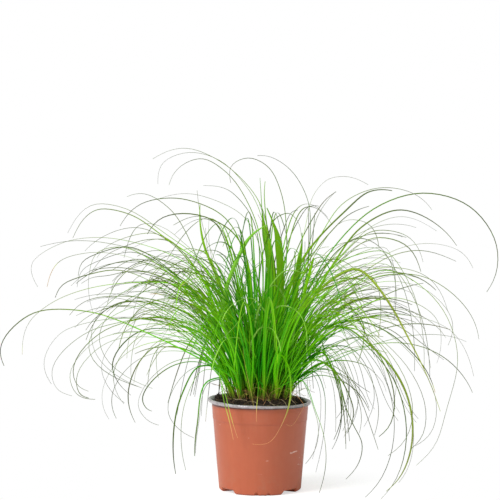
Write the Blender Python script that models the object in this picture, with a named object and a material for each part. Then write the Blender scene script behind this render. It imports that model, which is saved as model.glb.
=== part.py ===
"""Potted cat grass: a fine-leaved sedge in a round plastic nursery pot.

The pot's axis is Z and its feet stand on Z = 0. The plant is looked at along +Y, so +X is its right side.
Sizes in the tables are in millimetres, and MM turns them into metres.
"""
import math

import bmesh
import bpy
import numpy as np

MM = 0.001
GAP = 0.3  # between pieces that touch

# Pot
RIM_RADIUS = 60.0
POT_HEIGHT = 104.6
WALL_TOP_RADIUS = 55.6
BASE_RADIUS = 47.6
WALL = 1.4
SLOPE_HEIGHT = 96.6  # over which the wall widens from its base radius to its top radius
FOOT_HEIGHT = 7.0  # up to the end of the edge round the base
TILT_START = 8.0  # the lip's tilt fades out down to this height
RIDGE_HEIGHT = 80.0  # where the wall steps out a little
RIDGE_STEP = 0.4
LIP_DEPTH = 4.6
LIP_ROOT = 0.6  # from the wall's top up to the lip's underside
CHANNEL_HEIGHT = 4.0
CHANNEL_CENTRES = (47.0, 127.0, 227.0, 307.0)  # degrees round from the front
CHANNEL_HALF_WIDTH = 12.0
CHANNEL_SLOPE = 4.0
CHANNEL_INNER_RADIUS = 20.0
DRAIN_HOLE_RADIUS = 4.0
DRAIN_HOLE_CENTRE = 34.0
LIP_TILT = 0.028  # the thin lip is a little lower on the right

# Soil
SOIL_EDGE_HEIGHT = 101.0
CROWN_HEIGHT = 106.0
CROWN_RADIUS = 38.0
SOIL_COLUMNS = 40
SOIL_RINGS = (52.0, 49.0, 44.0, CROWN_RADIUS, 20.0)
SOIL_SIDE = (10.0, 96.0)  # heights between which the soil runs up beside the wall
LUMPS = (  # angle in degrees from +X, radius from the axis, height, width
    (172.0, 46.0, 6.5, 9.0),
    (200.0, 47.0, 3.0, 8.0),
    (20.0, 46.0, 3.5, 9.0),
    (300.0, 45.0, 1.5, 10.0),
    (80.0, 45.0, 3.0, 10.0),
)

# Shoots: rings on the crown as (radius, number of shoots, outward lean of the stem)
RINGS = ((33.0, 15, 4.0), (22.5, 12, 2.4), (12.0, 8, 1.2), (4.2, 3, 0.3))
LEAVES_PER_SHOOT = 3
STEM_SIDES = 6
STEM_RADIUS = 2.3
STEM_HEIGHT = 13.0
STEM_DOME = 0.4
LEAF_STATIONS = 11
LEAF_TAPER = 0.45
LEAF_CLEARANCE = 0.5
SHIFTS = sorted(range(-48, 49, 3), key=abs)  # how far a leaf may swing to keep clear, the least first

# Where the leaves' places were measured from: they are as seen in a picture plane through the pot's axis
VIEW_DISTANCE = 1550.0
EYE_SIDE = -11.65
EYE_HEIGHT = 278.0

# Each leaf: width, depth of its tip behind the pot's axis, then the places (side, height) that it passes
# through, from where it leaves the tuft to its tip. A third number in a place is its own depth.
LEAVES = (
    # arching over the top, to the left
    (1.3, 60, ((-12, 351), (-47, 382), (-90, 397), (-125, 384))),
    (1.2, -50, ((-17, 354), (-47, 383), (-86, 392), (-115, 378), (-119, 355))),
    (1.3, -90, ((-12, 329), (-35, 365), (-69, 385), (-98, 371), (-106, 354))),
    (1.5, 100, ((-23, 336), (-35, 347), (-66, 353))),
    (1.3, 40, ((-29, 325), (-52, 336), (-84, 344), (-120, 337))),
    (1.2, -60, ((-55, 326), (-103, 339), (-144, 329), (-163, 306))),
    (1.5, 20, ((-72, 264), (-84, 294), (-105, 326), (-140, 344), (-155, 340))),
    (1.5, 75, ((-70, 264), (-105, 288), (-155, 321), (-191, 325), (-218, 292))),
    (1.3, -105, ((-80, 262), (-110, 291), (-140, 304), (-186, 292), (-204, 277))),
    (1.3, 45, ((-82, 260), (-151, 288), (-190, 293), (-237, 284), (-267, 260), (-259, 235))),
    (1.2, -35, ((-99, 258), (-172, 285), (-214, 289), (-256, 282))),
    (1.2, 120, ((-110, 250), (-160, 272), (-207, 274), (-235, 264), (-248, 235))),
    (1.3, -130, ((-100, 250), (-151, 276), (-186, 266), (-207, 255), (-213, 235))),
    (2.2, -30, ((-58, 264), (-63, 276), (-69, 301), (-70, 331))),
    # upright in the middle
    (1.3, -45, ((31, 266), (31, 299), (26, 341), (8, 377), (-14, 386), (-34, 376), (-34, 356))),
    (1.3, 30, ((58, 278), (54, 342), (31, 376), (7, 388), (-3, 388))),
    (2.2, -85, ((-44, 212), (-36, 244), (-27, 266), (-10, 295), (8, 307))),
    (1.3, 35, ((13, 251), (10, 274), (6, 299), (3, 318), (1, 348), (0, 362))),
    (1.3, -20, ((17, 250), (12, 281), (9, 299), (6, 325), (5, 348), (6, 358))),
    (2.5, -50, ((24, 240), (23, 272), (20, 296), (15, 311), (8, 327))),
    (1.4, 10, ((55, 250), (57, 290), (56, 328))),
    (1.3, 65, ((50, 262), (59, 290), (68, 319), (88, 346))),
    (1.2, 95, ((52, 300), (65, 347), (78, 360), (99, 364), (126, 354))),
    (1.3, -70, ((8, 290), (19, 316), (34, 321), (44, 312), (48, 294))),
    (1.3, 110, ((29, 278), (44, 311), (58, 329), (69, 329))),
    (2.4, -62, ((40, 208), (43, 240), (46, 264), (49, 284), (49, 298))),
    # arching over the top, to the right
    (1.9, -70, ((59, 281), (97, 321), (130, 347), (154, 347))),
    (1.4, 40, ((68, 290), (97, 333), (142, 351), (191, 336), (200, 325))),
    (1.5, 125, ((85, 302), (103, 319), (127, 329))),
    (1.3, -30, ((93, 290), (130, 325), (191, 345), (245, 329), (277, 280), (273, 243), (264, 229))),
    (1.8, -110, ((87, 264), (117, 304), (162, 325), (211, 304), (229, 283))),
    (1.4, 20, ((80, 262), (107, 292), (165, 308), (182, 304))),
    (1.2, 80, ((93, 270), (140, 311), (160, 317), (206, 300))),
    (1.2, -145, ((87, 262), (135, 301), (175, 292), (190, 264))),
    (1.2, 150, ((60, 230), (91, 263), (107, 276), (126, 281))),
    (1.3, 60, ((90, 240), (128, 263), (172, 283), (198, 286), (239, 272), (248, 257))),
    (1.4, -90, ((105, 270), (147, 276), (172, 243), (189, 186), (191, 139))),
    (1.5, 130, ((105, 262), (149, 270), (156, 250), (156, 196))),
    (1.2, 30, ((110, 250), (157, 258), (196, 246), (219, 206))),
    (1.4, -50, ((90, 225), (140, 248), (191, 247), (220, 231), (252, 189), (255, 174))),
    (1.3, 95, ((90, 215), (140, 241), (198, 229), (225, 190), (219, 167))),
    # falling to the right
    (2.3, -80, ((70, 232), (111, 256), (151, 215), (171, 178), (193, 135), (210, 90))),
    (1.4, -130, ((60, 180), (107, 206), (148, 182), (192, 136), (206, 99), (199, 64), (181, 50))),
    (2.8, -115, ((50, 170), (96, 189), (128, 167), (161, 131), (176, 90), (176, 47), (160, 9), (147, -3))),
    (1.4, -60, ((100, 230), (140, 255), (210, 214), (231, 153), (216, 89), (206, 53), (182, 27))),
    (1.3, 50, ((95, 200), (163, 222), (207, 196), (210, 159), (206, 146))),
    (2.0, -75, ((40, 145), (68, 163), (90, 125), (99, 71), (100, 46))),
    (1.3, -25, ((50, 150), (86, 167), (108, 131), (113, 90), (100, 65))),
    (1.4, 65, ((60, 155), (100, 166), (132, 121), (133, 103), (121, 72))),
    (1.3, 110, ((60, 165), (110, 190), (140, 150), (155, 101), (163, 88))),
    (1.8, -120, ((48, 126), (64, 92), (75, 59), (77, 38), (69, -5))),
    (1.5, 20, ((46, 130), (62, 136), (75, 111), (76, 90), (65, 19))),
    (1.2, 45, ((40, 124), (70, 140), (99, 129), (120, 95))),
    (1.2, 150, ((80, 180), (133, 201), (179, 201), (220, 186), (249, 131))),
    # falling to the left
    (2.3, -20, ((-40, 133), (-71, 151), (-127, 179), (-205, 207), (-270, 202), (-303, 159), (-298, 143))),
    (1.3, 85, ((-82, 232), (-164, 239), (-205, 232), (-247, 214), (-270, 193), (-277, 156))),
    (1.4, -95, ((-60, 180), (-118, 200), (-161, 194), (-202, 182), (-243, 131), (-238, 117), (-219, 108))),
    (1.2, 135, ((-60, 175), (-120, 195), (-198, 194), (-233, 181), (-252, 142), (-243, 122))),
    (1.3, -145, ((-60, 160), (-130, 182), (-190, 173), (-222, 129), (-214, 110), (-192, 104))),
    (1.8, -50, ((-60, 205), (-117, 242), (-156, 231), (-197, 182), (-192, 157), (-172, 135), (-137, 117))),
    (1.4, 60, ((-60, 175), (-100, 190), (-151, 187), (-185, 138), (-174, 114), (-158, 100))),
    (1.3, -85, ((-45, 140), (-84, 152), (-107, 145), (-141, 92), (-129, 78), (-118, 74))),
    (1.2, 105, ((-60, 158), (-105, 172), (-154, 159), (-184, 101), (-176, 81))),
    (2.5, -60, ((-46, 140), (-71, 142), (-89, 114), (-101, 55), (-98, 17))),
    (1.8, 10, ((-42, 128), (-57, 127), (-73, 74), (-76, 38))),
    (1.2, -115, ((-60, 215), (-99, 240), (-132, 238), (-146, 212), (-148, 198))),
    (1.3, 0, ((-60, 170), (-105, 192), (-140, 182), (-150, 150), (-150, 129))),
    # over the front of the lip
    (1.8, -62, ((-44, 127, -46), (-40, 110, -58), (-36, 93, -62), (-29, 68, -60), (-26, 59, -59))),
    (1.4, -66, ((36, 150, -40), (36, 120, -60), (34, 97, -66), (26, 73, -64), (10, 53, -62), (-9, 52, -62))),
)

# Leaves to the front and the back, which the measured places hardly reach: one rule for each group as
# (number, heading at the first and the last in degrees from +X, apex distance, apex height, tip distance,
# tip height), where each pair is the value at the group's first and last leaf
GROUPS = (
    (9, (236, 304), (95, 125), (310, 270), (180, 215), (285, 200)),
    (9, (302, 240), (130, 110), (235, 215), (230, 215), (170, 150)),
    (9, (60, 124), (110, 95), (330, 310), (205, 225), (300, 230)),
    (9, (128, 56), (135, 150), (270, 245), (240, 255), (200, 150)),
    (9, (64, 120), (120, 110), (205, 190), (200, 190), (90, 60)),
)
GROUP_LEAF_WIDTH = 1.5
GROUP_TURN = 0.4  # degrees for each step of shift


def seen(side, height, depth):
    """The real place of a point that is seen at (side, height) in the picture plane, this far behind it."""
    grown = 1.0 + depth / VIEW_DISTANCE
    x = EYE_SIDE + (side - EYE_SIDE) * grown
    z = EYE_HEIGHT + (height - EYE_HEIGHT) * grown
    return np.array([x, depth, z])


def smooth_path(points, start_direction):
    """A cubic curve through all the points, whose tangents follow its neighbouring points."""
    points = np.array(points, dtype=float)
    steps = np.linalg.norm(np.diff(points, axis=0), axis=1)
    slopes = np.diff(points, axis=0) / steps[:, None]
    tangents = np.empty_like(points)
    tangents[0] = start_direction
    tangents[-1] = 1.5 * slopes[-1] - 0.5 * slopes[-2] if len(slopes) > 1 else slopes[-1]
    before, after = steps[:-1, None], steps[1:, None]
    tangents[1:-1] = (slopes[:-1] * after + slopes[1:] * before) / (before + after)
    t = np.linspace(0.0, 1.0, 24)[:-1, None]
    runs = []
    for i, step in enumerate(steps):
        runs.append(
            points[i] * (1 + 2 * t) * (1 - t) ** 2
            + tangents[i] * step * t * (1 - t) ** 2
            + points[i + 1] * t * t * (3 - 2 * t)
            + tangents[i + 1] * step * t * t * (t - 1)
        )
    return np.concatenate(runs + [points[-1:]])


def stations(path, count):
    """Points along the path, closer together where it bends."""
    steps = np.diff(path, axis=0)
    lengths = np.linalg.norm(steps, axis=1)
    directions = steps / lengths[:, None]
    bends = np.concatenate([[0.0], np.linalg.norm(np.diff(directions, axis=0), axis=1)])
    weight = lengths / lengths.sum() + bends / bends.sum()
    along = np.concatenate([[0.0], np.cumsum(weight)]) / weight.sum()
    wanted = np.linspace(0.0, 1.0, count)
    return np.stack([np.interp(wanted, along, path[:, k]) for k in range(3)], axis=1)


def leaf_list():
    """All the leaves as dictionaries: measured ones with their places, and the groups' with their points."""
    leaves = []
    for width, depth, places in LEAVES:
        leaves.append({"width": width, "depth": depth, "places": places})
    for number, *pairs in GROUPS:
        for i in range(number):
            t = i / (number - 1)
            heading, apex_far, apex_high, tip_far, tip_high = (a + (b - a) * t for a, b in pairs)
            uneven = 0.5 + 0.5 * math.sin(2.4 * i + heading)
            angle = math.radians(heading + 5.0 * math.sin(3.7 * i))
            out = np.array([math.cos(angle), math.sin(angle), 0.0])
            up = np.array([0.0, 0.0, 1.0])
            points = [
                0.45 * apex_far * out + 0.72 * apex_high * up,
                apex_far * out + apex_high * up,
                tip_far * (0.85 + 0.2 * uneven) * out + (tip_high + 30 * uneven) * up,
            ]
            leaves.append({"width": GROUP_LEAF_WIDTH, "points": points})
    return leaves


def points_of(leaf, base, shift):
    """The leaf's points in space. The shift swings a measured leaf in depth, and any other round the axis."""
    if "points" in leaf:
        turn = math.radians(shift * GROUP_TURN)
        c, s = math.cos(turn), math.sin(turn)
        return [np.array([p[0] * c - p[1] * s, p[0] * s + p[1] * c, p[2]]) for p in leaf["points"]]
    flat = [np.array(place[:2], dtype=float) for place in leaf["places"]]
    start = np.array([base[0], base[2]])
    lengths = np.cumsum([math.dist(a, b) for a, b in zip([start] + flat, flat)])
    points = []
    for place, length in zip(leaf["places"], lengths):
        share = (length / lengths[-1]) ** 1.3
        if len(place) == 3:
            depth = place[2]
        else:
            depth = base[1] + (leaf["depth"] + shift - base[1]) * share
        points.append(seen(place[0], place[1], depth))
    return points


def segment_gap(a, b):
    """The least distance between the segments of two lines of points."""
    p, u = a[:-1, None], np.diff(a, axis=0)[:, None]
    q, v = b[None, :-1], np.diff(b, axis=0)[None]
    w = p - q
    uu, uv, vv = (u * u).sum(-1), (u * v).sum(-1), (v * v).sum(-1)
    uw, vw = (u * w).sum(-1), (v * w).sum(-1)
    spread = np.maximum(uu * vv - uv * uv, 1e-9)
    s = np.clip((uv * vw - vv * uw) / spread, 0.0, 1.0)
    t = np.clip((uv * s + vw) / vv, 0.0, 1.0)
    s = np.clip((uv * t - uw) / uu, 0.0, 1.0)
    return np.linalg.norm(w + s[..., None] * u - t[..., None] * v, axis=-1).min()


def heading_of(leaf):
    """The compass direction of a leaf's farthest point from the axis."""
    points = points_of(leaf, np.array([0.0, 0.0, CROWN_HEIGHT]), 0.0)
    far = max(points, key=lambda p: math.hypot(p[0], p[1]))
    return math.atan2(far[1], far[0])


def steepness(leaf):
    """How steeply a leaf leaves the crown."""
    first = points_of(leaf, np.array([0.0, 0.0, CROWN_HEIGHT]), 0.0)[0]
    return math.atan2(first[2] - CROWN_HEIGHT, math.hypot(first[0], first[1]))


def share_out(leaves):
    """Give each shoot its leaves: low ones to the outer ring, and each ring filled in order of heading."""
    leaves = sorted(leaves, key=steepness)
    shoots = []
    for radius, number, lean in RINGS:
        taken = number * LEAVES_PER_SHOOT
        ring, leaves = sorted(leaves[:taken], key=heading_of), leaves[taken:]
        groups = [ring[i : i + LEAVES_PER_SHOOT] for i in range(0, taken, LEAVES_PER_SHOOT)]
        step = 2 * math.pi / number
        offsets = [heading_of(group[LEAVES_PER_SHOOT // 2]) - j * step for j, group in enumerate(groups)]
        turn = math.atan2(sum(map(math.sin, offsets)), sum(map(math.cos, offsets)))
        for j, group in enumerate(groups):
            angle = turn + j * step
            out = np.array([math.cos(angle), math.sin(angle), 0.0])
            foot = radius * out + np.array([0.0, 0.0, CROWN_HEIGHT + GAP])
            top = foot + lean * out + np.array([0.0, 0.0, STEM_HEIGHT])
            shoots.append({"foot": foot, "top": top, "angle": angle, "leaves": group})
    return shoots


def leaf_line(leaf, start, shift):
    """The leaf's line from the top of its stem, which it leaves a little more steeply than it goes on."""
    points = points_of(leaf, start, shift)
    rise = points[0] - start
    direction = rise / np.linalg.norm(rise) + np.array([0.0, 0.0, 0.6])
    direction /= np.linalg.norm(direction)
    return stations(smooth_path([start] + points, direction), LEAF_STATIONS)


def grow(shoots):
    """Work out each leaf's line, and swing it a little where it would touch a leaf of another shoot."""
    placed = [(n, np.array([s["foot"], s["top"]]), 2 * STEM_RADIUS) for n, s in enumerate(shoots)]
    for n, shoot in enumerate(shoots):

        def away(leaf):
            return math.remainder(heading_of(leaf) - shoot["angle"], 2 * math.pi)

        shoot["lines"] = {}
        for k, leaf in enumerate(sorted(shoot["leaves"], key=away)):
            face = k - LEAVES_PER_SHOOT // 2
            turn = shoot["angle"] + face * 2 * math.pi / STEM_SIDES
            start = shoot["top"] + 0.5 * STEM_RADIUS * np.array([math.cos(turn), math.sin(turn), 0.0])
            best_room, best_line = -math.inf, None
            for shift in SHIFTS:
                line = leaf_line(leaf, start, shift)
                gaps = (segment_gap(line, o) - (leaf["width"] + w) / 2 for m, o, w in placed if m != n)
                room = min(gaps)
                if room > best_room:
                    best_room, best_line = room, line
                if room > LEAF_CLEARANCE:
                    break
            if best_room > LEAF_CLEARANCE / 2:
                placed.append((n, best_line, leaf["width"]))
                shoot["lines"][face % STEM_SIDES] = (leaf["width"], best_line)


def shoot_mesh(shoot):
    """One closed solid: a six-sided stem with a fan of triangles on top, and leaves drawn out of some."""
    mesh = bmesh.new()
    rings = []
    for centre in (shoot["foot"], shoot["top"]):
        ring = []
        for i in range(STEM_SIDES):
            angle = shoot["angle"] + (i - 0.5) * 2 * math.pi / STEM_SIDES
            offset = STEM_RADIUS * np.array([math.cos(angle), math.sin(angle), 0.0])
            ring.append(mesh.verts.new((centre + offset) * MM))
        rings.append(ring)
    low, high = rings
    mesh.faces.new(low[::-1])
    peak = mesh.verts.new((shoot["top"] + np.array([0.0, 0.0, STEM_DOME])) * MM)
    for i in range(STEM_SIDES):
        j = (i + 1) % STEM_SIDES
        mesh.faces.new((low[i], low[j], high[j], high[i]))
        if i in shoot["lines"]:
            draw_leaf(mesh, [high[i], high[j], peak], *shoot["lines"][i])
        else:
            mesh.faces.new((high[i], high[j], peak))
    return mesh


def draw_leaf(mesh, ring, width, line):
    """Carry a low three-sided section along the leaf's line to a point at its tip."""
    directions = np.gradient(line, axis=0)
    directions /= np.linalg.norm(directions, axis=1)[:, None]
    reach = line[-1, :2] - line[0, :2]
    flat = np.array([reach[1], -reach[0], 0.0])
    flat /= np.linalg.norm(flat)
    if np.dot(flat, np.array(ring[0].co - ring[1].co)) < 0:
        flat = -flat
    for station in range(1, len(line) - 1):
        t = station / (len(line) - 1)
        across = flat - np.dot(flat, directions[station]) * directions[station]
        across /= np.linalg.norm(across)
        ridge = np.cross(across, directions[station])
        towards = np.array(ring[2].co - (ring[0].co + ring[1].co) / 2)
        if np.dot(ridge, towards) < 0:
            ridge = -ridge
        half = 0.5 * width * (1.0 - LEAF_TAPER * t**3)
        centre = line[station]
        following = [
            mesh.verts.new((centre + half * across - 0.3 * half * ridge) * MM),
            mesh.verts.new((centre - half * across - 0.3 * half * ridge) * MM),
            mesh.verts.new((centre + 0.75 * half * ridge) * MM),
        ]
        for i in range(3):
            j = (i + 1) % 3
            mesh.faces.new((ring[i], ring[j], following[j], following[i]))
        ring = following
    tip = mesh.verts.new(line[-1] * MM)
    for i in range(3):
        mesh.faces.new((ring[i], ring[(i + 1) % 3], tip))


def turned(profile, angles):
    """A closed surface round Z: the profile gives (radius, height) at each angle, from axis to axis."""
    mesh = bmesh.new()
    columns = [profile(angle) for angle in angles]
    first = mesh.verts.new((0.0, 0.0, columns[0][0][1] * MM))
    last = mesh.verts.new((0.0, 0.0, columns[0][-1][1] * MM))
    rows = []
    for angle, column in zip(angles, columns):
        c, s = math.cos(angle), math.sin(angle)
        rows.append([mesh.verts.new((r * c * MM, r * s * MM, z * MM)) for r, z in column[1:-1]])
    for a, b in zip(rows, rows[1:] + rows[:1]):
        mesh.faces.new((first, b[0], a[0]))
        for i in range(len(a) - 1):
            mesh.faces.new((a[i], b[i], b[i + 1], a[i + 1]))
        mesh.faces.new((last, a[-1], b[-1]))
    return mesh


def channel_rise(angle):
    """The height of the drain channels' roof at an angle: 0 between them."""
    round_from_front = math.degrees(angle) + 90.0
    away = min(abs(math.remainder(round_from_front - centre, 360.0)) for centre in CHANNEL_CENTRES)
    return CHANNEL_HEIGHT if away <= CHANNEL_HALF_WIDTH + 0.01 else 0.0


def pot_angles():
    """Column angles: fine steps at the sides of each channel, and even ones between."""
    marks = []
    edge = CHANNEL_HALF_WIDTH + CHANNEL_SLOPE
    for i, centre in enumerate(CHANNEL_CENTRES):
        following = CHANNEL_CENTRES[(i + 1) % len(CHANNEL_CENTRES)]
        span = (following - centre) % 360.0 - 2 * edge
        marks += [centre - CHANNEL_HALF_WIDTH, centre - 4.0, centre + 4.0, centre + CHANNEL_HALF_WIDTH]
        pieces = round(span / 8.5)
        marks += [centre + edge + span * k / pieces for k in range(pieces + 1)]
    return [math.radians(mark - 90.0) for mark in marks]


def wall_radius(z):
    """The radius of the pot's outer wall at a height."""
    return BASE_RADIUS + (WALL_TOP_RADIUS - BASE_RADIUS) / SLOPE_HEIGHT * z


def pot_profile(angle):
    """From the middle of the underside out, up the wall, over the lip, and down the inside to the floor.

    The small numbers set the points of each rounded edge off from the sizes that are named.
    """
    rise = channel_rise(angle)
    top = POT_HEIGHT
    outline = [
        (0.0, 0.0),
        (CHANNEL_INNER_RADIUS - 4.0, 0.0),
        (CHANNEL_INNER_RADIUS, rise),
        (BASE_RADIUS - 2.2, rise),
        (BASE_RADIUS - 0.6, max(0.7, rise)),
        (wall_radius(2.4), max(2.4, rise + 0.8)),
        (wall_radius(FOOT_HEIGHT), FOOT_HEIGHT),
        (wall_radius(RIDGE_HEIGHT - 1.0), RIDGE_HEIGHT - 1.0),
        (wall_radius(RIDGE_HEIGHT) + RIDGE_STEP, RIDGE_HEIGHT),
        (WALL_TOP_RADIUS + 0.3, top - LIP_DEPTH - LIP_ROOT),
        (RIM_RADIUS - 1.2, top - LIP_DEPTH),
        (RIM_RADIUS, top - 3.4),
        (RIM_RADIUS - 0.3, top - 1.0),
        (RIM_RADIUS - 1.8, top),
        (WALL_TOP_RADIUS + 0.6, top - 0.3),
        (WALL_TOP_RADIUS - 1.0, top - 2.0),
        (wall_radius(FOOT_HEIGHT) - WALL, FOOT_HEIGHT + 0.4),
        (BASE_RADIUS - 2.6, rise + WALL),
        (CHANNEL_INNER_RADIUS - 1.0, rise + WALL),
        (CHANNEL_INNER_RADIUS - 5.0, WALL),
        (0.0, WALL),
    ]
    lowered = []
    for r, z in outline:
        level = min(1.0, max(0.0, (z - TILT_START) / (top - TILT_START)))
        lowered.append((r, z - LIP_TILT * r * math.cos(angle) * level**2))
    return lowered


def soil_top(x, y):
    """The soil's height: a flat crown, a fall towards the lip, and a few lumps."""
    r = math.hypot(x, y)
    fall = min(1.0, max(0.0, (r - CROWN_RADIUS) / 12.0))
    height = CROWN_HEIGHT + (SOIL_EDGE_HEIGHT - CROWN_HEIGHT) * fall - LIP_TILT * x * fall
    for angle, radius, high, wide in LUMPS:
        a = math.radians(angle)
        away = math.hypot(x - radius * math.cos(a), y - radius * math.sin(a))
        height += high * math.exp(-((away / wide) ** 2)) * fall
    return height


def soil_profile(angle):
    """From the middle of the soil's underside out, up beside the pot's wall, and over its top."""
    floor = CHANNEL_HEIGHT + WALL + GAP
    inset = WALL + 2 * GAP
    outline = [(0.0, floor), (BASE_RADIUS - 4.2, floor)]
    outline += [(wall_radius(z) - inset, z) for z in SOIL_SIDE]
    for r in SOIL_RINGS:
        outline.append((r, soil_top(r * math.cos(angle), r * math.sin(angle))))
    outline.append((0.0, CROWN_HEIGHT))
    return outline


def material(name, colour, roughness):
    made = bpy.data.materials.new(name)
    made.use_nodes = True
    shader = made.node_tree.nodes["Principled BSDF"]
    shader.inputs["Base Color"].default_value = (*colour, 1.0)
    shader.inputs["Roughness"].default_value = roughness
    return made


def add_object(name, mesh, made_of, smooth_degrees=None):
    data = bpy.data.meshes.new(name)
    bmesh.ops.recalc_face_normals(mesh, faces=mesh.faces)
    mesh.to_mesh(data)
    mesh.free()
    data.materials.append(made_of)
    if smooth_degrees:
        data.shade_smooth()
        data.set_sharp_from_angle(angle=math.radians(smooth_degrees))
    piece = bpy.data.objects.new(name, data)
    bpy.context.scene.collection.objects.link(piece)
    return piece


def cut_drain_holes(pot):
    """A round hole through the roof of each drain channel."""
    for n, centre in enumerate(CHANNEL_CENTRES):
        cutter_mesh = bmesh.new()
        radius = DRAIN_HOLE_RADIUS * MM
        bmesh.ops.create_cone(
            cutter_mesh, cap_ends=True, segments=12, radius1=radius, radius2=radius, depth=12 * MM
        )
        cutter = add_object(f"drain_hole_cutter_{n + 1}", cutter_mesh, pot.data.materials[0])
        angle = math.radians(centre - 90.0)
        away = DRAIN_HOLE_CENTRE * MM
        cutter.location = (away * math.cos(angle), away * math.sin(angle), CHANNEL_HEIGHT * MM)
        cutter.hide_render = True
        cutter.display_type = "WIRE"
        cut = pot.modifiers.new(f"drain_hole_{n + 1}", "BOOLEAN")
        cut.operation = "DIFFERENCE"
        cut.object = cutter
        cut.solver = "EXACT"


def main():
    for item in list(bpy.data.objects):
        bpy.data.objects.remove(item)
    terracotta = material("terracotta_plastic", (0.46, 0.13, 0.065), 0.5)
    earth = material("potting_soil", (0.03, 0.018, 0.012), 0.95)
    green = material("leaf_green", (0.09, 0.24, 0.03), 0.45)

    pot = add_object("pot", turned(pot_profile, pot_angles()), terracotta, 35)
    cut_drain_holes(pot)
    soil_angles = [2 * math.pi * i / SOIL_COLUMNS for i in range(SOIL_COLUMNS)]
    add_object("soil", turned(soil_profile, soil_angles), earth, 50)

    shoots = share_out(leaf_list())
    grow(shoots)
    for n, shoot in enumerate(shoots):
        add_object(f"shoot_{n + 1:02d}", shoot_mesh(shoot), green, 60)


main()
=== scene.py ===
import math

import bpy
import numpy as np
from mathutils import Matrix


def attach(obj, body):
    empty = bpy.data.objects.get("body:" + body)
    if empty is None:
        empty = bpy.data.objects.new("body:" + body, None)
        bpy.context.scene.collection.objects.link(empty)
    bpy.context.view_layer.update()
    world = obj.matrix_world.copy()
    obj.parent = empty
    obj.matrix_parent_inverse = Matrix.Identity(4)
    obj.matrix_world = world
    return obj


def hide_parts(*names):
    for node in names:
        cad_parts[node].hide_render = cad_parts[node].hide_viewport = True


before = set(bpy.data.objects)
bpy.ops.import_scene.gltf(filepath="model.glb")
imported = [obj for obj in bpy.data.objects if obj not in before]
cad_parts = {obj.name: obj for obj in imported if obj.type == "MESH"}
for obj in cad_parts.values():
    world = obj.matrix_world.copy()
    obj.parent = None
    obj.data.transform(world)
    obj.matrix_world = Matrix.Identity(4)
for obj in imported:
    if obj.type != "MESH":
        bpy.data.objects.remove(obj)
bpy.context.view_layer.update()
mm = 0.001
upward = np.array([0.0, 0.0, 1.0])
white = (1.0, 1.0, 1.0)
print("stage: frame loaded,", len(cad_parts), "nodes")

# Camera at the photograph's viewing angle, and the studio round the plant
studio = {
    "cameraPlace": (-0.01165, -1.55, 0.278),
    "cameraTurn": (90.0, 0.0, 0.0),
    "lens": 95.8,
    "farthest": 200.0,
    "skySeen": 1.0,
    "skyLight": 0.67,
    "keyPower": 2.95,
    "keySpread": 30.0,
    "keyTurn": (50.0, 0.0, -55.0),
    "floorSide": 60.0,
    "floorColour": (0.9, 0.9, 0.9),
    "floorGlow": 0.34,
    "floorFades": (0.055, 0.2, 0.4),  # in metres from the plant, and the share of white at the first
}


def addNode(tree, kind, settings=None, **inputs):
    # A new node, with its settings, and its inputs given by name as values or as sockets to link
    made = tree.nodes.new(kind)
    for name, value in (settings or {}).items():
        setattr(made, name, value)
    for name, value in inputs.items():
        join(tree, made.inputs[name.replace("_", " ")], value)
    return made


def join(tree, socket, value):
    # Links a socket to the input, or gives it a value. Colours are opaque
    if isinstance(value, bpy.types.NodeSocket):
        tree.links.new(value, socket)
    else:
        socket.default_value = (*value, 1.0) if socket.type == "RGBA" else value


def maths(tree, operation, first, second=0.0, third=None, clamp=False):
    made = addNode(tree, "ShaderNodeMath", {"operation": operation, "use_clamp": clamp})
    join(tree, made.inputs[0], first)
    join(tree, made.inputs[1], second)
    if third is not None:
        join(tree, made.inputs[2], third)
    return made.outputs[0]


def mixColours(tree, share, first, second, blend="MIX"):
    made = addNode(tree, "ShaderNodeMix", {"data_type": "RGBA", "blend_type": blend})
    join(tree, made.inputs[0], share)
    join(tree, made.inputs[6], first)
    join(tree, made.inputs[7], second)
    return made.outputs[2]


def mixShaders(tree, share, first, second):
    made = addNode(tree, "ShaderNodeMixShader", Fac=share)
    join(tree, made.inputs[1], first)
    join(tree, made.inputs[2], second)
    return made.outputs[0]


def stretch(tree, value, low, high, lowOut=0.0, highOut=1.0):
    # The value's range from low to high, spread to a new range and clamped there
    made = addNode(tree, "ShaderNodeMapRange", {"interpolation_type": "SMOOTHSTEP"})
    for place, given in enumerate((value, low, high, lowOut, highOut)):
        join(tree, made.inputs[place], given)
    return made.outputs[0]


def colourRamp(tree, value, stops):
    made = addNode(tree, "ShaderNodeValToRGB", Fac=value)
    marks = made.color_ramp.elements
    while len(marks) < len(stops):
        marks.new(0.5)
    for mark, (place, colour) in zip(marks, stops):
        mark.position = place
        mark.color = (*colour, 1.0)
    return made.outputs[0]


def startMaterial(name, roughness, specular=0.5):
    material = bpy.data.materials.new(name)
    material.use_nodes = True
    tree = material.node_tree
    shader = tree.nodes["Principled BSDF"]
    shader.inputs["Roughness"].default_value = roughness
    shader.inputs["Specular IOR Level"].default_value = specular
    return material, tree, shader


def startGroup(name, output, **numbers):
    # A node group that takes a Vector and numbers with their usual values, and puts out one number
    tree = bpy.data.node_groups.new(name, "ShaderNodeTree")
    tree.interface.new_socket("Vector", in_out="INPUT", socket_type="NodeSocketVector")
    for socketName, value in numbers.items():
        socket = tree.interface.new_socket(socketName, in_out="INPUT", socket_type="NodeSocketFloat")
        socket.default_value = value
    tree.interface.new_socket(output, in_out="OUTPUT", socket_type="NodeSocketFloat")
    return tree, addNode(tree, "NodeGroupInput").outputs, addNode(tree, "NodeGroupOutput").inputs[0]


def useGroup(tree, name, place, **inputs):
    group = {"node_tree": bpy.data.node_groups[name]}
    return addNode(tree, "ShaderNodeGroup", group, Vector=place, **inputs).outputs[0]


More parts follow.
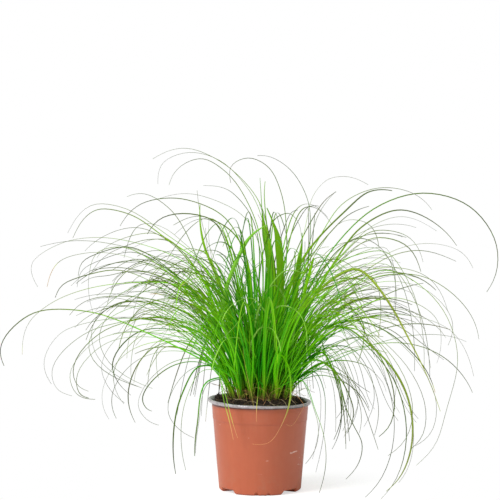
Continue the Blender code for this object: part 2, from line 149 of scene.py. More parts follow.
def objectPlace(tree):
    return addNode(tree, "ShaderNodeTexCoord").outputs["Object"]


def noise(tree, place, scale, detail, roughness=0.5):
    given = {"Vector": place, "Scale": scale, "Detail": detail, "Roughness": roughness}
    return addNode(tree, "ShaderNodeTexNoise", **given).outputs[0]


def addBump(tree, shader, height, strength, distance):
    made = addNode(tree, "ShaderNodeBump", Strength=strength, Distance=distance, Height=height)
    join(tree, shader.inputs["Normal"], made.outputs[0])


def buildStudio():
    scene = bpy.context.scene
    camera = bpy.data.objects.new("camera", bpy.data.cameras.new("camera"))
    camera.location = studio["cameraPlace"]
    camera.rotation_euler = np.radians(studio["cameraTurn"])
    camera.data.lens = studio["lens"]
    camera.data.clip_end = studio["farthest"]
    scene.collection.objects.link(camera)
    scene.camera = camera

    key = bpy.data.objects.new("key", bpy.data.lights.new("key", "SUN"))
    key.data.energy = studio["keyPower"]
    key.data.angle = math.radians(studio["keySpread"])
    key.rotation_euler = np.radians(studio["keyTurn"])
    scene.collection.objects.link(key)

    # The sky lights the plant a little less than it shows to the camera, so that the background stays white
    world = bpy.data.worlds.new("studio")
    world.use_nodes = True
    tree = world.node_tree
    tree.nodes.clear()
    lit = addNode(tree, "ShaderNodeBackground", Color=white, Strength=studio["skyLight"]).outputs[0]
    shown = addNode(tree, "ShaderNodeBackground", Color=white, Strength=studio["skySeen"]).outputs[0]
    chosen = mixShaders(tree, addNode(tree, "ShaderNodeLightPath").outputs[0], lit, shown)
    join(tree, addNode(tree, "ShaderNodeOutputWorld").inputs[0], chosen)
    scene.world = world
    scene.view_settings.view_transform = "Standard"

    side = studio["floorSide"]
    mesh = bpy.data.meshes.new("floor")
    corners = [(-side, -side, 0), (side, -side, 0), (side, side, 0), (-side, side, 0)]
    mesh.from_pydata(corners, [], [(0, 1, 2, 3)])
    floor = bpy.data.objects.new("floor", mesh)
    material, tree, shader = startMaterial("pale_floor", 0.8, 0.1)
    join(tree, shader.inputs["Base Color"], studio["floorColour"])
    join(tree, shader.inputs["Emission Color"], white)
    seenHere = addNode(tree, "ShaderNodeLightPath").outputs["Is Camera Ray"]
    join(tree, shader.inputs["Emission Strength"], maths(tree, "MULTIPLY", seenHere, studio["floorGlow"]))
    # Away from the plant the camera sees plain white, while the floor still sends light back
    plain = addNode(tree, "ShaderNodeEmission", Color=white, Strength=studio["skySeen"]).outputs[0]
    away = addNode(tree, "ShaderNodeVectorMath", {"operation": "LENGTH"})
    join(tree, away.inputs[0], objectPlace(tree))
    faded = stretch(tree, away.outputs["Value"], *studio["floorFades"])
    shown = mixShaders(tree, maths(tree, "MULTIPLY", faded, seenHere), shader.outputs[0], plain)
    join(tree, tree.nodes["Material Output"].inputs["Surface"], shown)
    mesh.materials.append(material)
    scene.collection.objects.link(floor)


def latticeNoise(points, size, seed):
    # Soft noise for shapes: each corner of a cubic lattice has a hashed value, and a point takes the smooth
    # blend of the eight corners round it, from -1 to 1
    scaled = np.asarray(points) / size + 0.37 * seed
    corner = np.floor(scaled).astype(np.int64)
    part = scaled - corner
    part = part * part * (3 - 2 * part)
    total = np.zeros(scaled.shape[:-1])
    for step in np.ndindex(2, 2, 2):
        at = corner + np.array(step)
        mixed = at[..., 0] * 374761393 + at[..., 1] * 668265263 + at[..., 2] * 1103515245 + seed * 12345
        mixed = (mixed ^ (mixed >> 13)) * 1274126177
        value = ((mixed ^ (mixed >> 16)) & 65535) / 32767.5 - 1
        total += np.prod(np.where(step, part, 1 - part), axis=-1) * value
    return total


def polar(radius, angle, height=0.0):
    # Points at these radii, angles and heights, whose arrays are spread to one shape
    return np.stack(np.broadcast_arrays(radius * np.cos(angle), radius * np.sin(angle), height), axis=-1)


def scattered(count, radius, free, chance):
    # Random radii and angles, spread evenly over a disc, of which the middle's share of area is left free
    far = radius * np.sqrt(chance.uniform(free, 1.0, size=count))
    return far, chance.uniform(0.0, 2 * np.pi, size=count)


def ringQuads(rings, around):
    # Faces between neighbouring rings: place j of ring i is point i * around + j
    i, j = np.meshgrid(np.arange(rings - 1), np.arange(around), indexing="ij")
    here = i * around + j
    beside = i * around + (j + 1) % around
    return np.stack([here, beside, beside + around, here + around], axis=-1).reshape(-1, 4)


def strandFaces(count, stations, around):
    # Faces of many closed strands, each a tube of rings with its two ends shut by quads
    shut = np.array([[0, k, k + 1, k + 2] for k in range(1, around - 2, 2)])
    one = np.concatenate([ringQuads(stations, around), shut[:, ::-1], shut + (stations - 1) * around])
    first = np.arange(count)[:, None, None] * stations * around
    return (one[None] + first).reshape(-1, 4)


def closedShell(grid, bottom, top):
    # Points and faces of a round closed shell: the rings of the grid, shut by fans to its two middle points
    rings, around = grid.shape[:2]
    j = np.arange(around)
    k = (j + 1) % around
    below, last = rings * around, (rings - 1) * around
    lower = np.stack([np.full(around, below), k, j], axis=-1)
    upper = np.stack([np.full(around, below + 1), last + j, last + k], axis=-1)
    points = np.concatenate([grid.reshape(-1, 3), [bottom, top]])
    return points, ringQuads(rings, around).tolist() + lower.tolist() + upper.tolist()


def newPiece(name, points, faces, materials, smooth=40.0, spread=None, tint=None):
    # One mesh object in metres. spread gives each point its UV place, and tint its four numbers of colour
    points = np.asarray(points).reshape(-1, 3) * mm
    mesh = bpy.data.meshes.new(name)
    mesh.from_pydata(points.tolist(), [], faces if isinstance(faces, list) else faces.tolist())
    for material in materials:
        mesh.materials.append(material)
    mesh.shade_smooth()
    if smooth:
        mesh.set_sharp_from_angle(angle=math.radians(smooth))
    if spread is not None:
        corner = np.empty(len(mesh.loops), int)
        mesh.loops.foreach_get("vertex_index", corner)
        layer = mesh.uv_layers.new(name="along")
        layer.data.foreach_set("uv", spread.reshape(-1, 2)[corner].astype(np.float32).ravel())
    if tint is not None:
        layer = mesh.attributes.new("tint", "FLOAT_COLOR", "POINT")
        layer.data.foreach_set("color", tint.reshape(-1, 4).astype(np.float32).ravel())
    piece = bpy.data.objects.new(name, mesh)
    bpy.context.scene.collection.objects.link(piece)
    return piece


def placePiece(piece, node=None):
    # Hides the solid that the piece stands for, if any, and hangs the piece on the plant's one body
    if node:
        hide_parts(node)
    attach(piece, "root")


def mottleGroup():
    # Cloudy variation from 0 to 1, from two noises of one scale, with a contrast
    tree, given, wanted = startGroup("mottle", "Value", Scale=60.0, Contrast=1.0)
    broad = noise(tree, given[0], given[1], 3.0, 0.6)
    fine = noise(tree, given[0], maths(tree, "MULTIPLY", given[1], 5.3), 2.0)
    both = maths(tree, "MULTIPLY_ADD", fine, 0.35, maths(tree, "MULTIPLY", broad, 0.65))
    centred = maths(tree, "SUBTRACT", both, 0.5)
    join(tree, wanted, maths(tree, "MULTIPLY_ADD", centred, given[2], 0.5, clamp=True))


def dustGroup():
    # Fine specks and smears of dry soil, as a mask
    tree, given, wanted = startGroup("dust", "Mask", Scale=900.0, Amount=0.3)
    specks = addNode(tree, "ShaderNodeTexVoronoi", Vector=given[0], Scale=given[1], Randomness=1.0)
    size = stretch(tree, specks.outputs["Distance"], 0.10, 0.24, 1.0, 0.0)
    few = stretch(tree, specks.outputs["Color"], 0.62, 0.72)
    smear = noise(tree, given[0], maths(tree, "MULTIPLY", given[1], 0.045), 5.0, 0.65)
    smeared = stretch(tree, smear, 0.5, 0.78, 0.0, 0.55)
    total = maths(tree, "MAXIMUM", maths(tree, "MULTIPLY", size, few), smeared)
    join(tree, wanted, maths(tree, "MULTIPLY", total, given[2], clamp=True))


def grainGroup():
    # A fine moulded or earthy grain as a height for Bump
    tree, given, wanted = startGroup("grain", "Height", Scale=1500.0, Coarse=0.4)
    fine = noise(tree, given[0], given[1], 2.0)
    coarse = noise(tree, given[0], maths(tree, "MULTIPLY", given[1], 0.12), 3.0)
    join(tree, wanted, maths(tree, "MULTIPLY_ADD", coarse, given[2], fine))


# Pot: a thin moulded plastic nursery pot. Heights and radii in millimetres, as the solid has them, and angles
# in degrees from the front
potSizes = {
    "rimRadius": 60.0,
    "height": 104.6,
    "wallTopRadius": 55.6,
    "wallHeight": 96.6,
    "baseRadius": 47.6,
    "wall": 1.4,
    "channelHeight": 4.0,
    "channelCentres": (47.0, 127.0, 227.0, 307.0),
    "channelHalfWidth": 12.0,
    "channelSlope": 4.0,
    "channelInnerRadius": 20.0,
    "drainRadius": 4.0,
    "drainCentre": 34.0,
    "tiltFrom": 8.0,
    "lipTilt": 0.028,
    "frontTilt": 0.024,
    "columns": 360,
    "longestStep": 1.6,
    "floorStep": 4.0,
    "cornerSteps": 4,
    "rings": ((95.0, 0.8, 0.2), (86.0, 0.6, -0.15)),  # height, half width, depth
    "nicks": ((-5.0, 2.4, 3.3), (11.5, 2.0, 2.4), (3.0, 2.4, 0.6)),  # angle, half width, height
    "footHeight": 4.0,
    "footWidth": 2.6,
    "ridge": 82.0,
    "wobble": 0.3,
    "lipWaves": 0.12,
    "lipShift": 0.7,
}

potLooks = {
    "wallColour": (0.415, 0.092, 0.033),
    "wallShade": (0.31, 0.056, 0.024),
    "wallPale": (0.50, 0.130, 0.060),
    # The lip's pale grey: partly the plastic's own grey and partly a painted sheen on the dark sheet
    "lipSheenColour": (0.50, 0.46, 0.485),
    "lipShade": (0.15, 0.13, 0.14),
    "insideColour": (0.040, 0.030, 0.028),
    "creaseShadowColour": (0.085, 0.018, 0.014),
    # The colour of the painted shadow in the crease under the lip
    "dustColour": (0.30, 0.20, 0.13),
    "scuffColour": (0.80, 0.62, 0.54),
    # Where an effect starts and ends in metres, and its strength at both ends where that isn't 0 and 1
    "dustLow": (0.004, 0.030, 0.55, 0.12),
    "dustHigh": (0.080, 0.101, 0.0, 0.5),
    "rubsRight": (0.018, 0.040),
    "rubsOver": (0.024, 0.034),
    "rubsUnder": (0.046, 0.058, 1.0, 0.0),
    # Bands of painted shade: along the moulded ridge, and in the crease under the lip
    "ridgeShadeOver": (0.0785, 0.0805),
    "ridgeShadeUnder": (0.0812, 0.0840, 0.16, 0.0),
    "creaseShadow": (0.0972, 0.0994, 0.0, 0.85),
    "lipOver": (0.0990, 0.1010),
}


def degreesFromFront(angles):
    return np.degrees(angles) + 90.0


def apart(first, second):
    # The least difference of two angles in degrees
    return np.abs((first - second + 180.0) % 360.0 - 180.0)


def channelRise(angles):
    # Height of the drain channels' roof round the pot: full inside each channel, with sloped sides
    rise = np.zeros_like(angles)
    for centre in potSizes["channelCentres"]:
        away = apart(degreesFromFront(angles), centre)
        level = 1 - np.clip((away - potSizes["channelHalfWidth"]) / potSizes["channelSlope"], 0, 1)
        rise = np.maximum(rise, potSizes["channelHeight"] * level)
    return rise


def wallRadius(height):
    slope = (potSizes["wallTopRadius"] - potSizes["baseRadius"]) / potSizes["wallHeight"]
    return potSizes["baseRadius"] + slope * height


def potOutline(angles):
    # Control points (radius, height, corner radius) of the section at each angle, from the middle of the
    # underside out, up the wall, over the lip and down the inside
    rise = channelRise(angles)
    base, inner, wall = potSizes["baseRadius"], potSizes["channelInnerRadius"], potSizes["wall"]
    top, rim = potSizes["height"], potSizes["rimRadius"]
    brim, ridge = potSizes["wallTopRadius"], potSizes["ridge"]
    rows = [
        (0.0, 0.0, 0.0),
        (inner - 4.0, 0.0, 1.0),
        (inner, rise, 1.0),
        (base - 2.0, rise, 0.8),
        (wallRadius(1.8), np.maximum(1.6, rise + 0.9), 0.9),
        (wallRadius(8.0), 8.0, 0.5),
        (wallRadius(ridge - 0.9), ridge - 0.9, 0.4),
        (wallRadius(ridge) + 0.4, ridge, 0.4),
        (wallRadius(98.0) + 0.2, top - 4.4, 0.5),
        (brim + 0.9, top - 3.4, 0.5),
        (rim - 1.6, top - 4.4, 0.8),
        (rim, top - 2.8, 1.4),
        (rim - 0.5, top - 0.2, 1.6),
        (rim - 3.6, top - 0.3, 1.3),
        (brim - 1.2, top - 3.4, 1.0),
        (wallRadius(7.0) - wall, 7.4, 1.5),
        (base - 2.8, rise + wall, 1.2),
        (inner - 1.0, rise + wall, 1.0),
        (inner - 5.0, wall, 1.0),
        (0.0, wall, 0.0),
    ]
    points = np.array([np.broadcast_arrays(radius, height, angles)[:2] for radius, height, corner in rows])
    return points, [corner for radius, height, corner in rows]


def roundCorners(points, corners):
    # Each control point gives way to a short quadratic curve between points on its two sides, and each
    # straight run between corners is cut into even steps. The kind of a row is the last corner before it
    rows, kinds = [points[0]], [0]
    steps = np.linspace(0.0, 1.0, potSizes["cornerSteps"] + 1)[:, None, None]

    def runTo(end, longestStep, kind):
        pieces = max(1, int(np.ceil(np.linalg.norm(end - rows[-1], axis=0).max() / longestStep)))
        for i in range(1, pieces):
            rows.append(rows[-1] + (end - rows[-1]) / (pieces - i + 1))
            kinds.append(kind)

    for k in range(1, len(points) - 1):
        before, at, after = points[k - 1], points[k], points[k + 1]
        entry = at + (before - at) * np.minimum(0.45, corners[k] / np.linalg.norm(before - at, axis=0))
        leave = at + (after - at) * np.minimum(0.45, corners[k] / np.linalg.norm(after - at, axis=0))
        runTo(entry, potSizes["longestStep"], k - 1)
        bend = entry * (1 - steps) ** 2 + 2 * at * steps * (1 - steps) + leave * steps**2
        rows.extend(bend)
        kinds.extend([k] * len(bend))
    runTo(points[-1], potSizes["floorStep"], len(points) - 2)
    rows.append(points[-1])
    kinds.append(len(points) - 1)
    return np.array(rows), np.array(kinds)


def wallMaterial():
    material, tree, shader = startMaterial("terracotta_plastic", 0.42)
    place = objectPlace(tree)
    parts = addNode(tree, "ShaderNodeSeparateXYZ", Vector=place).outputs
    side, height = parts[0], parts[2]
    # Flow streaks of the moulding, drawn out along the height
    squeezed = addNode(tree, "ShaderNodeMapping", Vector=place, Scale=(1.0, 1.0, 0.12)).outputs[0]
    streak = useGroup(tree, "mottle", squeezed, Scale=85.0, Contrast=1.5)
    cloud = useGroup(tree, "mottle", place, Scale=26.0, Contrast=1.8)
    shade = mixColours(tree, streak, potLooks["wallShade"], potLooks["wallPale"])
    colour = mixColours(tree, 0.72, shade, potLooks["wallColour"])
    colour = mixColours(tree, maths(tree, "MULTIPLY", cloud, 0.25), colour, potLooks["wallShade"])
    # Soil dust below the lip and near the floor
    low, high = (stretch(tree, height, *potLooks[name]) for name in ("dustLow", "dustHigh"))
    dust = useGroup(tree, "dust", place, Scale=1100.0, Amount=maths(tree, "ADD", low, high))
    colour = mixColours(tree, dust, colour, potLooks["dustColour"])
    # Whitish rub marks, thin and level, most of them low on the front's right side
    level = addNode(tree, "ShaderNodeMapping", Vector=place, Scale=(1.0, 1.0, 4.5)).outputs[0]
    rubs = noise(tree, level, 75.0, 4.0, 0.55)
    right = stretch(tree, side, *potLooks["rubsRight"])
    over, under = (stretch(tree, height, *potLooks[name]) for name in ("rubsOver", "rubsUnder"))
    nearby = maths(tree, "MULTIPLY", right, maths(tree, "MULTIPLY", over, under))
    rubbed = stretch(tree, maths(tree, "MULTIPLY_ADD", nearby, 0.12, rubs), 0.71, 0.82, 0.0, 0.8)
    colour = mixColours(tree, rubbed, colour, potLooks["scuffColour"])
    # Painted shade: a darker line painted along the moulded ridge, and a dark line painted in the crease
    # under the lip, where shadow falls
    over, under = (stretch(tree, height, *potLooks[name]) for name in ("ridgeShadeOver", "ridgeShadeUnder"))
    colour = mixColours(tree, maths(tree, "MULTIPLY", over, under), colour, potLooks["wallShade"])
    creaseShadow = stretch(tree, height, *potLooks["creaseShadow"])
    join(tree, shader.inputs["Base Color"], mixColours(tree, creaseShadow, colour, potLooks["creaseShadowColour"]))
    rough = maths(tree, "MULTIPLY_ADD", cloud, 0.12, 0.36)
    rough = maths(tree, "MULTIPLY_ADD", maths(tree, "MAXIMUM", dust, rubbed), 0.3, rough)
    join(tree, shader.inputs["Roughness"], rough)
    addBump(tree, shader, useGroup(tree, "grain", place, Scale=2200.0, Coarse=0.8), 0.12, 0.0004)
    return material


def lipMaterial():
    # The lip and the inside share one dark-bodied sheet. The roll of the lip is painted pale grey, partly the
    # plastic's own grey and partly a painted sheen, and it is dusty
    material, tree, shader = startMaterial("grey_lip_plastic", 0.26, 0.7)
    place = objectPlace(tree)
    height = addNode(tree, "ShaderNodeSeparateXYZ", Vector=place).outputs[2]
    cloud = useGroup(tree, "mottle", place, Scale=120.0, Contrast=2.2)
    # Painted sheen on the lip, mottled between pale and darker grey
    lip = mixColours(tree, cloud, potLooks["lipSheenColour"], potLooks["lipShade"])
    raised = stretch(tree, height, *potLooks["lipOver"])
    colour = mixColours(tree, raised, potLooks["insideColour"], lip)
    dust = useGroup(tree, "dust", place, Scale=1500.0, Amount=0.7)
    join(tree, shader.inputs["Base Color"], mixColours(tree, dust, colour, potLooks["dustColour"]))
    join(tree, shader.inputs["Roughness"], maths(tree, "MULTIPLY_ADD", dust, 0.35, 0.24))
    addBump(tree, shader, useGroup(tree, "grain", place, Scale=1800.0, Coarse=1.2), 0.2, 0.0004)
    return material


def cutDrainHoles(pot):
    # A round hole through each channel's roof, cut for good, so that no cutter is left in the scene
    ring = polar(potSizes["drainRadius"], np.linspace(0.0, 2 * np.pi, 32, endpoint=False))
    cutters = []
    for centre in potSizes["channelCentres"]:
        middle = polar(potSizes["drainCentre"], math.radians(centre - 90.0))
        rings = np.stack([ring + middle + height * upward for height in (1.5, 8.0)])
        cutters.append(newPiece("hole", rings, strandFaces(1, 2, len(ring)), [], smooth=None))
        cut = pot.modifiers.new("hole", "BOOLEAN")
        cut.operation = "DIFFERENCE"
        cut.object = cutters[-1]
        cut.solver = "EXACT"
    bpy.context.view_layer.update()
    whole = pot.evaluated_get(bpy.context.evaluated_depsgraph_get())
    mesh = bpy.data.meshes.new_from_object(whole)
    pot.modifiers.clear()
    pot.data = mesh
    for cutter in cutters:
        bpy.data.objects.remove(cutter)


def buildPot():
    angles = np.linspace(0.0, 2 * np.pi, potSizes["columns"], endpoint=False)
    rows, kinds = roundCorners(*potOutline(angles))
    radius, height = rows[:, 0], rows[:, 1]
    front, turn = degreesFromFront(angles)[None], angles[None]
    kind = kinds[:, None]

    # Faint rings of the mould on the outer wall, and nicks in the front foot's edge
    for level, half, depth in potSizes["rings"]:
        radius = radius + (kind >= 4) * (kind <= 8) * depth * np.exp(-(((height - level) / half) ** 2))
    atFoot = np.exp(-(((radius - potSizes["baseRadius"]) / potSizes["footWidth"]) ** 4))
    atFoot = atFoot * (height < potSizes["footHeight"])
    for centre, half, high in potSizes["nicks"]:
        height = height + atFoot * high * np.exp(-((apart(front, centre) / half) ** 4)) * (1 - height / 6.0)
    # The thin wall isn't quite round, and its lip waves a little and leans as the solid's does
    share = np.clip(height / potSizes["height"], 0.0, 1.0)
    wave = np.cos(2 * turn + 0.7) + 0.5 * np.cos(3 * turn + 2.1) + 0.3 * np.cos(7 * turn + 0.4) * share**3
    radius = radius + (radius > 1) * potSizes["wobble"] * share * wave
    radius = radius - potSizes["lipShift"] * np.cos(turn) * (kind >= 9) * (kind <= 14)
    level = np.clip((height - potSizes["tiltFrom"]) / (potSizes["height"] - potSizes["tiltFrom"]), 0.0, 1.0)
    height = height - potSizes["lipTilt"] * radius * np.cos(turn) * level**2
    height = height + potSizes["frontTilt"] * radius * np.sin(turn) * level**2
    height = height + potSizes["lipWaves"] * level**6 * (np.cos(5 * turn + 1.0) + np.cos(11 * turn))

    grid = polar(radius, turn, height)
    points, faces = closedShell(grid[1:-1], grid[0, 0], grid[-1, 0])
    pot = newPiece("pot_shell", points, faces, [wallMaterial(), lipMaterial()], smooth=35.0)
    lipOrInside = (kinds[2:-1] >= 10).repeat(len(angles))
    index = np.concatenate([lipOrInside, np.zeros(len(angles)), np.ones(len(angles))]).astype(np.int32)
    pot.data.polygons.foreach_set("material_index", index)
    cutDrainHoles(pot)
    placePiece(pot, "pot")


# Soil: a crumbly bed that rises to the crown in the middle, with lumps near the lip
soilSizes = {
    "edgeHeight": 101.0,
    "crownHeight": 106.0,
    "crownRadius": 38.0,
    "slopeWidth": 12.0,
    # angle, distance, height, width
    "lumps": ((172.0, 46.0, 6.5, 9.0), (200.0, 47.0, 3.0, 8.0), (20.0, 46.0, 3.5, 9.0),
              (300.0, 45.0, 1.5, 10.0), (80.0, 45.0, 3.0, 10.0), (190.0, 49.5, 6.5, 2.2)),
    "roughness": ((1.0, 7.0, 3), (0.7, 3.0, 5), (0.4, 1.3, 8)),  # height, size and seed of each noise
    "inset": 0.6,
    "floorGap": 0.3,
    "undersideRadii": (1.0, 25.0),
    "edgeInset": 4.2,
    "sideLevels": (10.0, 50.0, 94.0),
    "topRadius": 53.0,
    "columns": 260,
    "rings": 74,
    "crumbs": 1500,
    "crumbRough": 0.22,
    "crumbSize": (0.45, 1.0),
    "crumbShape": (0.6, 1.25),
    "chips": 46,
    "chipShape": ((0.5, 0.9, 2.2), (0.8, 1.6, 4.2)),
    "threads": 150,
    "threadTurn": 0.28,
    "threadRadius": (0.10, 0.24),
    "threadStep": (0.5, 1.5),
    "threadArch": (0.2, 2.6),
    "threadStarts": 50.0,
    "threadReach": 52.5,
    "rootRadius": 0.42,
}

soilLooks = {
    "shades": ((0.2, (0.006, 0.004, 0.003)), (0.55, (0.024, 0.015, 0.010)), (0.85, (0.075, 0.050, 0.032))),
    "fleckColour": (0.13, 0.09, 0.055),
    "threadShade": (0.10, 0.06, 0.03),
    "threadColours": ((0.10, 0.055, 0.028, 1.0), (0.34, 0.24, 0.13, 1.0)),
    "rootColour": (0.46, 0.36, 0.22, 1.0),
}


def soilHeight(x, y):
    # A flat crown, a fall towards the lip, the lumps, and a crumbly noise in three sizes
    fall = np.clip((np.hypot(x, y) - soilSizes["crownRadius"]) / soilSizes["slopeWidth"], 0.0, 1.0)
    height = soilSizes["crownHeight"] + (soilSizes["edgeHeight"] - soilSizes["crownHeight"]) * fall
    height = height - potSizes["lipTilt"] * x * fall
    for angle, far, high, wide in soilSizes["lumps"]:
        middle = polar(far, math.radians(angle))
        height = height + high * np.exp(-(np.hypot(x - middle[0], y - middle[1]) / wide) ** 2) * fall
    place = np.stack([x, y, 0 * x], axis=-1)
    noises = [high * latticeNoise(place, size, seed) for high, size, seed in soilSizes["roughness"]]
    return height + sum(noises)


def bedMaterial():
    material, tree, shader = startMaterial("potting_soil", 0.9, 0.25)
    place = objectPlace(tree)
    cloud = useGroup(tree, "mottle", place, Scale=180.0, Contrast=2.6)
    colour = colourRamp(tree, cloud, soilLooks["shades"])
    flecks = useGroup(tree, "dust", place, Scale=1400.0, Amount=0.75)
    join(tree, shader.inputs["Base Color"], mixColours(tree, flecks, colour, soilLooks["fleckColour"]))
    addBump(tree, shader, useGroup(tree, "grain", place, Scale=1300.0, Coarse=1.6), 0.8, 0.0012)
    return material


def threadMaterial():
    material, tree, shader = startMaterial("root_thread", 0.6, 0.3)
    place = objectPlace(tree)
    tint = addNode(tree, "ShaderNodeAttribute", {"attribute_name": "tint"}).outputs["Color"]
    cloud = useGroup(tree, "mottle", place, Scale=260.0, Contrast=2.0)
    dark = mixColours(tree, 0.5, tint, soilLooks["threadShade"])
    join(tree, shader.inputs["Base Color"], mixColours(tree, cloud, tint, dark))
    addBump(tree, shader, useGroup(tree, "grain", place, Scale=3000.0, Coarse=0.6), 0.3, 0.0002)
    return material


def turnedAtRandom(count, chance):
    # Random turns as matrices, from random unit quaternions
    q = chance.normal(size=(count, 4))
    w, x, y, z = (q / np.linalg.norm(q, axis=1)[:, None]).T
    return np.stack([
        np.stack([1 - 2 * (y * y + z * z), 2 * (x * y - w * z), 2 * (x * z + w * y)], axis=-1),
        np.stack([2 * (x * y + w * z), 1 - 2 * (x * x + z * z), 2 * (y * z - w * x)], axis=-1),
        np.stack([2 * (x * z - w * y), 2 * (y * z + w * x), 1 - 2 * (x * x + y * y)], axis=-1),
    ], axis=1)


def scatterCrumbs(material, chance):
    # Each crumb is a small ball of rings whose points are pushed in and out at random, then stretched and
    # turned. Chips are the same ball, long and flat
    count = soilSizes["crumbs"] + soilSizes["chips"]
    around, stations = 6, 4
    tilt = np.radians([-62.0, -22.0, 22.0, 62.0])[:, None]
    turn = np.linspace(0.0, 2 * np.pi, around, endpoint=False)[None] + 0.4 * np.arange(stations)[:, None]
    ball = polar(np.cos(tilt), turn, np.sin(tilt))
    pushed = 1 + soilSizes["crumbRough"] * chance.uniform(-1, 1, size=(count, stations, around, 1))
    shape = ball[None] * pushed
    stretched = chance.uniform(*soilSizes["crumbShape"], size=(count, 1, 1, 3))
    chips = chance.uniform(*soilSizes["chipShape"], size=(soilSizes["chips"], 1, 1, 3))
    stretched[soilSizes["crumbs"]:] = chips
    least, more = soilSizes["crumbSize"]
    size = least + more * chance.power(0.5, size=(count, 1, 1, 1))
    shape = np.einsum("nij,nabj->nabi", turnedAtRandom(count, chance), shape * stretched * size)
    place = polar(*scattered(count, soilSizes["topRadius"], 0.02, chance))
    place[:, 2] = soilHeight(place[:, 0], place[:, 1]) + 0.3 * size[:, 0, 0, 0]
    points = shape + place[:, None, None]
    return newPiece("soil_crumbs", points, strandFaces(count, stations, around), [material], smooth=50.0)


def curveThrough(points, startDirection=None, steps=24):
    # A smooth curve through the points, with the same number of steps in each span: cubic pieces whose
    # tangents follow the neighbouring points
    points = np.array(points, dtype=float)
    lengths = np.linalg.norm(np.diff(points, axis=0), axis=1)
    slopes = np.diff(points, axis=0) / lengths[:, None]
    tangents = np.empty_like(points)
    tangents[0] = slopes[0] if startDirection is None else startDirection
    tangents[-1] = 1.5 * slopes[-1] - 0.5 * slopes[-2] if len(slopes) > 1 else slopes[-1]
    before, after = lengths[:-1, None], lengths[1:, None]
    tangents[1:-1] = (slopes[:-1] * after + slopes[1:] * before) / (before + after)
    t = np.linspace(0.0, 1.0, steps)[:-1, None]
    runs = [
        points[i] * (1 + 2 * t) * (1 - t) ** 2
        + tangents[i] * length * t * (1 - t) ** 2
        + points[i + 1] * t * t * (3 - 2 * t)
        + tangents[i + 1] * length * t * t * (t - 1)
        for i, length in enumerate(lengths)
    ]
    return np.concatenate(runs + [points[-1:]])


def evenly(path, count, bends=0.0):
    # The path again with this many points, spaced by length, and closer where it bends if bends says so
    steps = np.diff(path, axis=0)
    lengths = np.linalg.norm(steps, axis=1)
    directions = steps / lengths[:, None]
    turning = np.concatenate([[0.0], np.linalg.norm(np.diff(directions, axis=0), axis=1)])
    weight = lengths / lengths.sum() + bends * turning / turning.sum()
    along = np.concatenate([[0.0], np.cumsum(weight)]) / weight.sum()
    wanted = np.linspace(0.0, 1.0, count)
    return np.stack([np.interp(wanted, along, path[:, k]) for k in range(3)], axis=1)


def frameAlong(paths, firstAcross):
    # A side direction that is carried along each path without turning about it, and the one square to both
    along = np.gradient(paths, axis=1)
    along /= np.linalg.norm(along, axis=2)[..., None]
    across = np.empty_like(along)
    side = firstAcross
    for station in range(paths.shape[1]):
        direction = along[:, station]
        side = side - (side * direction).sum(-1)[:, None] * direction
        side /= np.linalg.norm(side, axis=1)[:, None]
        across[:, station] = side
    return across, np.cross(across, along)


def tubeRings(paths, radii, around):
    # Round tubes: each ring is a circle square to the path
    first = np.cross(paths[:, 1] - paths[:, 0], np.array([0.31, 0.52, 0.79]))
    across, over = frameAlong(paths, first)
    turn = np.linspace(0.0, 2 * np.pi, around, endpoint=False)
    spokes = across[:, :, None] * np.cos(turn)[:, None] + over[:, :, None] * np.sin(turn)[:, None]
    return paths[:, :, None] + spokes * radii[:, :, None, None]


# Roots that lie on the soil at the front, as points (x, y, height above the soil)
surfaceRoots = (
    ((14, -12, 1.5), (20, -24, 1.2), (26, -33, 1.0), (30, -41, 0.8), (30, -50, 0.2), (28, -53, -1.0)),
    ((34, -14, 2.0), (38, -24, 1.4), (43, -30, 1.2), (48, -32, 0.8), (52, -31, -0.5)),
    ((-30, -22, 1.0), (-24, -30, 1.4), (-16, -34, 1.0), (-8, -39, 0.9), (-2, -46, 0.2)),
    ((2, -20, 1.2), (10, -30, 1.0), (9, -38, 1.2), (16, -44, 0.6), (24, -47, 0.0)),
)


def layThreads(material, chance):
    # Fine root threads over the soil: random gentle curves that keep close to its surface, and the few
    # long roots of the list
    count, stations = soilSizes["threads"], 12
    start = polar(*scattered(count, soilSizes["threadStarts"], 0.1, chance))[:, None]
    heading = chance.uniform(0.0, 2 * np.pi, size=(count, 1))
    turns = chance.normal(0.0, soilSizes["threadTurn"], size=(count, stations))
    step = chance.uniform(*soilSizes["threadStep"], size=(count, 1))
    paths = start + np.cumsum(polar(step, heading + np.cumsum(turns, axis=1)), axis=1)
    paths /= np.maximum(1.0, np.hypot(paths[..., 0], paths[..., 1]) / soilSizes["threadReach"])[..., None]
    bow = np.sin(np.linspace(0.0, np.pi, stations))
    arch = bow * chance.uniform(*soilSizes["threadArch"], size=(count, 1))
    paths[..., 2] = soilHeight(paths[..., 0], paths[..., 1]) + 0.5 + arch
    radii = chance.uniform(*soilSizes["threadRadius"], size=(count, 1)) * np.linspace(1.0, 0.4, stations)
    rings = tubeRings(paths, radii, 4)

    roots = np.array([evenly(curveThrough(row), stations * 2) for row in surfaceRoots])
    roots[..., 2] += soilHeight(roots[..., 0], roots[..., 1])
    rootRadii = np.full((len(roots), 1), soilSizes["rootRadius"]) * np.linspace(1.0, 0.45, stations * 2)
    rootRings = tubeRings(roots, rootRadii, 6)

    points = np.concatenate([rings.reshape(-1, 3), rootRings.reshape(-1, 3)])
    rootFaces = strandFaces(len(roots), stations * 2, 6) + count * stations * 4
    faces = np.concatenate([strandFaces(count, stations, 4), rootFaces])
    brown, pale = (np.array(colour) for colour in soilLooks["threadColours"])
    tint = brown + (pale - brown) * chance.uniform(0.0, 1.0, size=(count, 1))
    rootTint = np.tile(soilLooks["rootColour"], (len(rootRings) * stations * 12, 1))
    tint = np.concatenate([np.repeat(tint, stations * 4, axis=0), rootTint])
    return newPiece("soil_threads", points, faces, [material], tint=tint)


